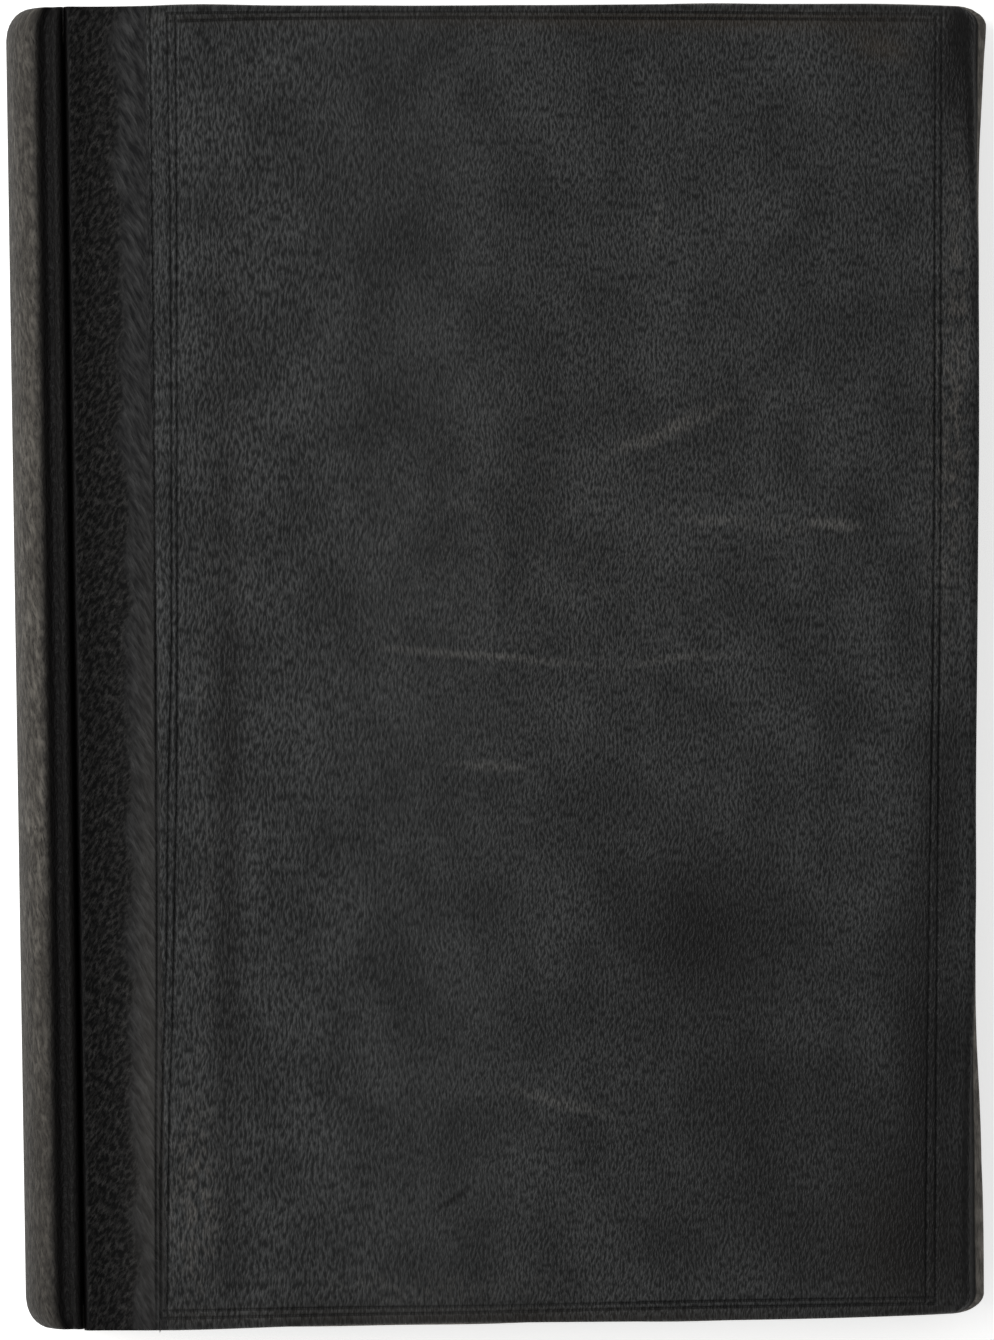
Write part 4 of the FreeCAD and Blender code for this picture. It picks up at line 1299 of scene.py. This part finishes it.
def flat_paper():
    material, tree, shader = new_finish("rag_endpaper", 0.8, 1.45, level=0.25)
    rest = attribute_of(tree, "rest", "Vector")
    fibres = noise_at(tree, rest, 1.6, 4.0)
    toning = ranged(tree, noise_at(tree, rest, 0.035, 4.0), 0.35, 0.7)
    fox = add(tree, "ShaderNodeTexVoronoi", {"Vector": rest, "Scale": 0.13, "Randomness": 1.0},
              "Distance")
    fox = ranged(tree, fox, 0.16, 0.05)
    axis = add(tree, "ShaderNodeSeparateXYZ", {0: rest}, "X")
    near_fore = ranged(tree, axis, 58, 71)
    near_joint = ranged(tree, axis, -50, -66)
    border_tone = add(tree, "ShaderNodeMath", {0: near_fore, 1: near_joint}, operation="MAXIMUM")
    base = painted(tree, colour("c6b48d"), fibres, "d3c4a2")
    base = painted(tree, base, times(tree, toning, 0.45), "a98f63")
    base = painted(tree, base, times(tree, border_tone, 0.6), "86673f")
    base = painted(tree, base, times(tree, fox, 0.5), "8a5f36")
    surface(tree, shader, base, fibres, 0.25, FIBRE_DEEP)
    return material


cover_with(leaves, page_edges())
paper = flat_paper()
for piece in endpapers:
    cover_with(piece, paper)


# %% Thread
def band_thread():
    material, tree, shader = new_finish("silk_thread", 0.55, 1.5, level=0.4, sheen=0.2)
    rest = attribute_of(tree, "rest", "Vector")
    along = add(tree, "ShaderNodeSeparateXYZ", {0: rest}, "Z")
    turns = times(tree, along, 1 / (THREAD * 4))
    turns = add(tree, "ShaderNodeMath", {0: turns}, operation="FRACT")
    second = add(tree, "ShaderNodeMath", {0: turns, 1: 0.5}, operation="GREATER_THAN")
    dust = noise_at(tree, rest, 1.2, 3.0)
    base = painted(tree, colour("6d2f27"), second, "b59a6c")
    base = painted(tree, base, times(tree, dust, 0.5), "5b4a35")
    ridge = times(tree, along, math.pi / THREAD * 2)
    ridge = add(tree, "ShaderNodeMath", {0: ridge}, operation="SINE")
    surface(tree, shader, base, ridge, 0.3, FIBRE_DEEP)
    return material


thread = band_thread()
for piece in bands:
    cover_with(piece, thread)


# %% Board, card, cloth and tape
def solid_place(tree):
    """The place on a solid in millimetres. A solid's own coordinates move with it."""
    place = add(tree, "ShaderNodeTexCoord", {}, "Object")
    return add(tree, "ShaderNodeVectorMath", {0: place, 1: (1 / MM,) * 3}, operation="MULTIPLY")


def pressed_fibre(name, low, high):
    material, tree, shader = new_finish(name, 0.9, 1.45, level=0.2)
    place = solid_place(tree)
    fibres = ranged(tree, noise_at(tree, place, 1.3, 5.0, distortion=1.2), 0.35, 0.66)
    base = painted(tree, colour(low), fibres, high)
    surface(tree, shader, base, fibres, 0.4, GRAIN_DEEP)
    return material


def woven(name, spacing, low, high):
    """A plain weave: two sets of ribs that cross, with dark gaps between the threads."""
    material, tree, shader = new_finish(name, 0.85, 1.5, level=0.25, sheen=0.1)
    place = solid_place(tree)
    ribs = []
    for axis in ("X", "Y"):
        way = add(tree, "ShaderNodeSeparateXYZ", {0: place}, axis)
        way = times(tree, way, math.pi / spacing)
        way = add(tree, "ShaderNodeMath", {0: way}, operation="SINE")
        ribs.append(add(tree, "ShaderNodeMath", {0: way}, operation="ABSOLUTE"))
    weave = add(tree, "ShaderNodeMath", {0: ribs[0], 1: ribs[1]}, operation="MAXIMUM")
    soil = noise_at(tree, place, 0.4, 3.0)
    base = painted(tree, colour(low), weave, high)
    base = painted(tree, base, times(tree, soil, 0.35), "6b5536")
    surface(tree, shader, base, weave, 0.6, GRAIN_DEEP)
    return material


millboard = pressed_fibre("millboard", "4d443a", "857766")
card = pressed_fibre("lining_card", "8f7d5e", "b8a47e")
mull = woven("cotton_mull", 1.0, "4f4128", "a8946a")
linen = woven("linen_tape", 0.6, "8b7a58", "c9b98f")
for piece in boards:
    cover_with(piece, millboard)
FINISHES = {"mull": mull, "tape": linen, "infill": card, "inlay": millboard, "board": millboard,
            "leather": panel, "flyleaf": paper, "pastedown": paper, "block": page_edges(),
            "band": thread}
for node_name, node in frame["nodes"].items():
    finish = next(material for part, material in FINISHES.items() if part in node_name)
    cover_with(node, finish)
print("finishes", len(bpy.data.materials))

# %% [markdown]
# ## Floor, light and camera
#
# The photograph is lit softly from the left, so grooves that face right are dark. One large lamp
# on the left shines down at 45 degrees, and a white world fills the shadows. Together they bring
# a level white sheet to about full white, so each colour looks as it is written. The camera looks
# straight down through a long lens, because the photograph shows hardly any perspective.

# %% Floor
FLOOR_HALF = 6.0
corners = [(-FLOOR_HALF, -FLOOR_HALF, 0), (FLOOR_HALF, -FLOOR_HALF, 0), (FLOOR_HALF, FLOOR_HALF, 0),
           (-FLOOR_HALF, FLOOR_HALF, 0)]
floor_mesh = bpy.data.meshes.new("floor")
floor_mesh.from_pydata(corners, [], [(0, 1, 2, 3)])
floor = bpy.data.objects.new("floor", floor_mesh)
bpy.context.scene.collection.objects.link(floor)
floor_paper, floor_tree, floor_shader = new_finish("matte_backdrop", 0.9, 1.45, level=0.1)
floor_shader.inputs["Base Color"].default_value = colour("f6f6f5")
floor_shader.inputs["Emission Color"].default_value = (1, 1, 1, 1)
seen = add(floor_tree, "ShaderNodeLightPath", {}, "Is Camera Ray")
FLOOR_GLOW = 0.55
floor_tree.links.new(times(floor_tree, seen, FLOOR_GLOW), floor_shader.inputs["Emission Strength"])
cover_with(floor, floor_paper)

# %% Light
KEY_PLACE = Vector((-0.62, 0.12, 0.62))
KEY_SIZE = 0.55
KEY_POWER = 6.4
FILL = 0.44
key = bpy.data.lights.new("window", "AREA")
key.energy = KEY_POWER
key.size = KEY_SIZE
lamp = bpy.data.objects.new("window", key)
lamp.location = KEY_PLACE
lamp.rotation_euler = (-KEY_PLACE).to_track_quat("-Z", "Y").to_euler()
bpy.context.scene.collection.objects.link(lamp)
world = bpy.data.worlds.new("studio")
world.use_nodes = True
sky = world.node_tree.nodes["Background"]
sky.inputs["Color"].default_value = (1, 1, 1, 1)
bright = add(world.node_tree, "ShaderNodeLightPath", {}, "Is Camera Ray")
bright = ranged(world.node_tree, bright, 0, 1, foot=FILL)
world.node_tree.links.new(bright, sky.inputs["Strength"])
bpy.context.scene.world = world
bpy.context.scene.view_settings.view_transform = "Standard"

# %% Camera
FRAME_MIDDLE = (497, 670)
FRAME_HIGH = 1340
CAMERA_ABOVE = 2.4
camera_data = bpy.data.cameras.new("camera")
camera_data.lens = camera_data.sensor_width * CAMERA_ABOVE / (FRAME_HIGH * PIXEL * MM)
camera = bpy.data.objects.new("camera", camera_data)
camera.location = ((FRAME_MIDDLE[0] - PHOTO_MIDDLE[0]) * PIXEL * MM,
                   (PHOTO_MIDDLE[1] - FRAME_MIDDLE[1]) * PIXEL * MM, THICK * MM + CAMERA_ABOVE)
bpy.context.scene.collection.objects.link(camera)
bpy.context.scene.camera = camera
print("lens", round(camera_data.lens), "mm at", CAMERA_ABOVE, "m")
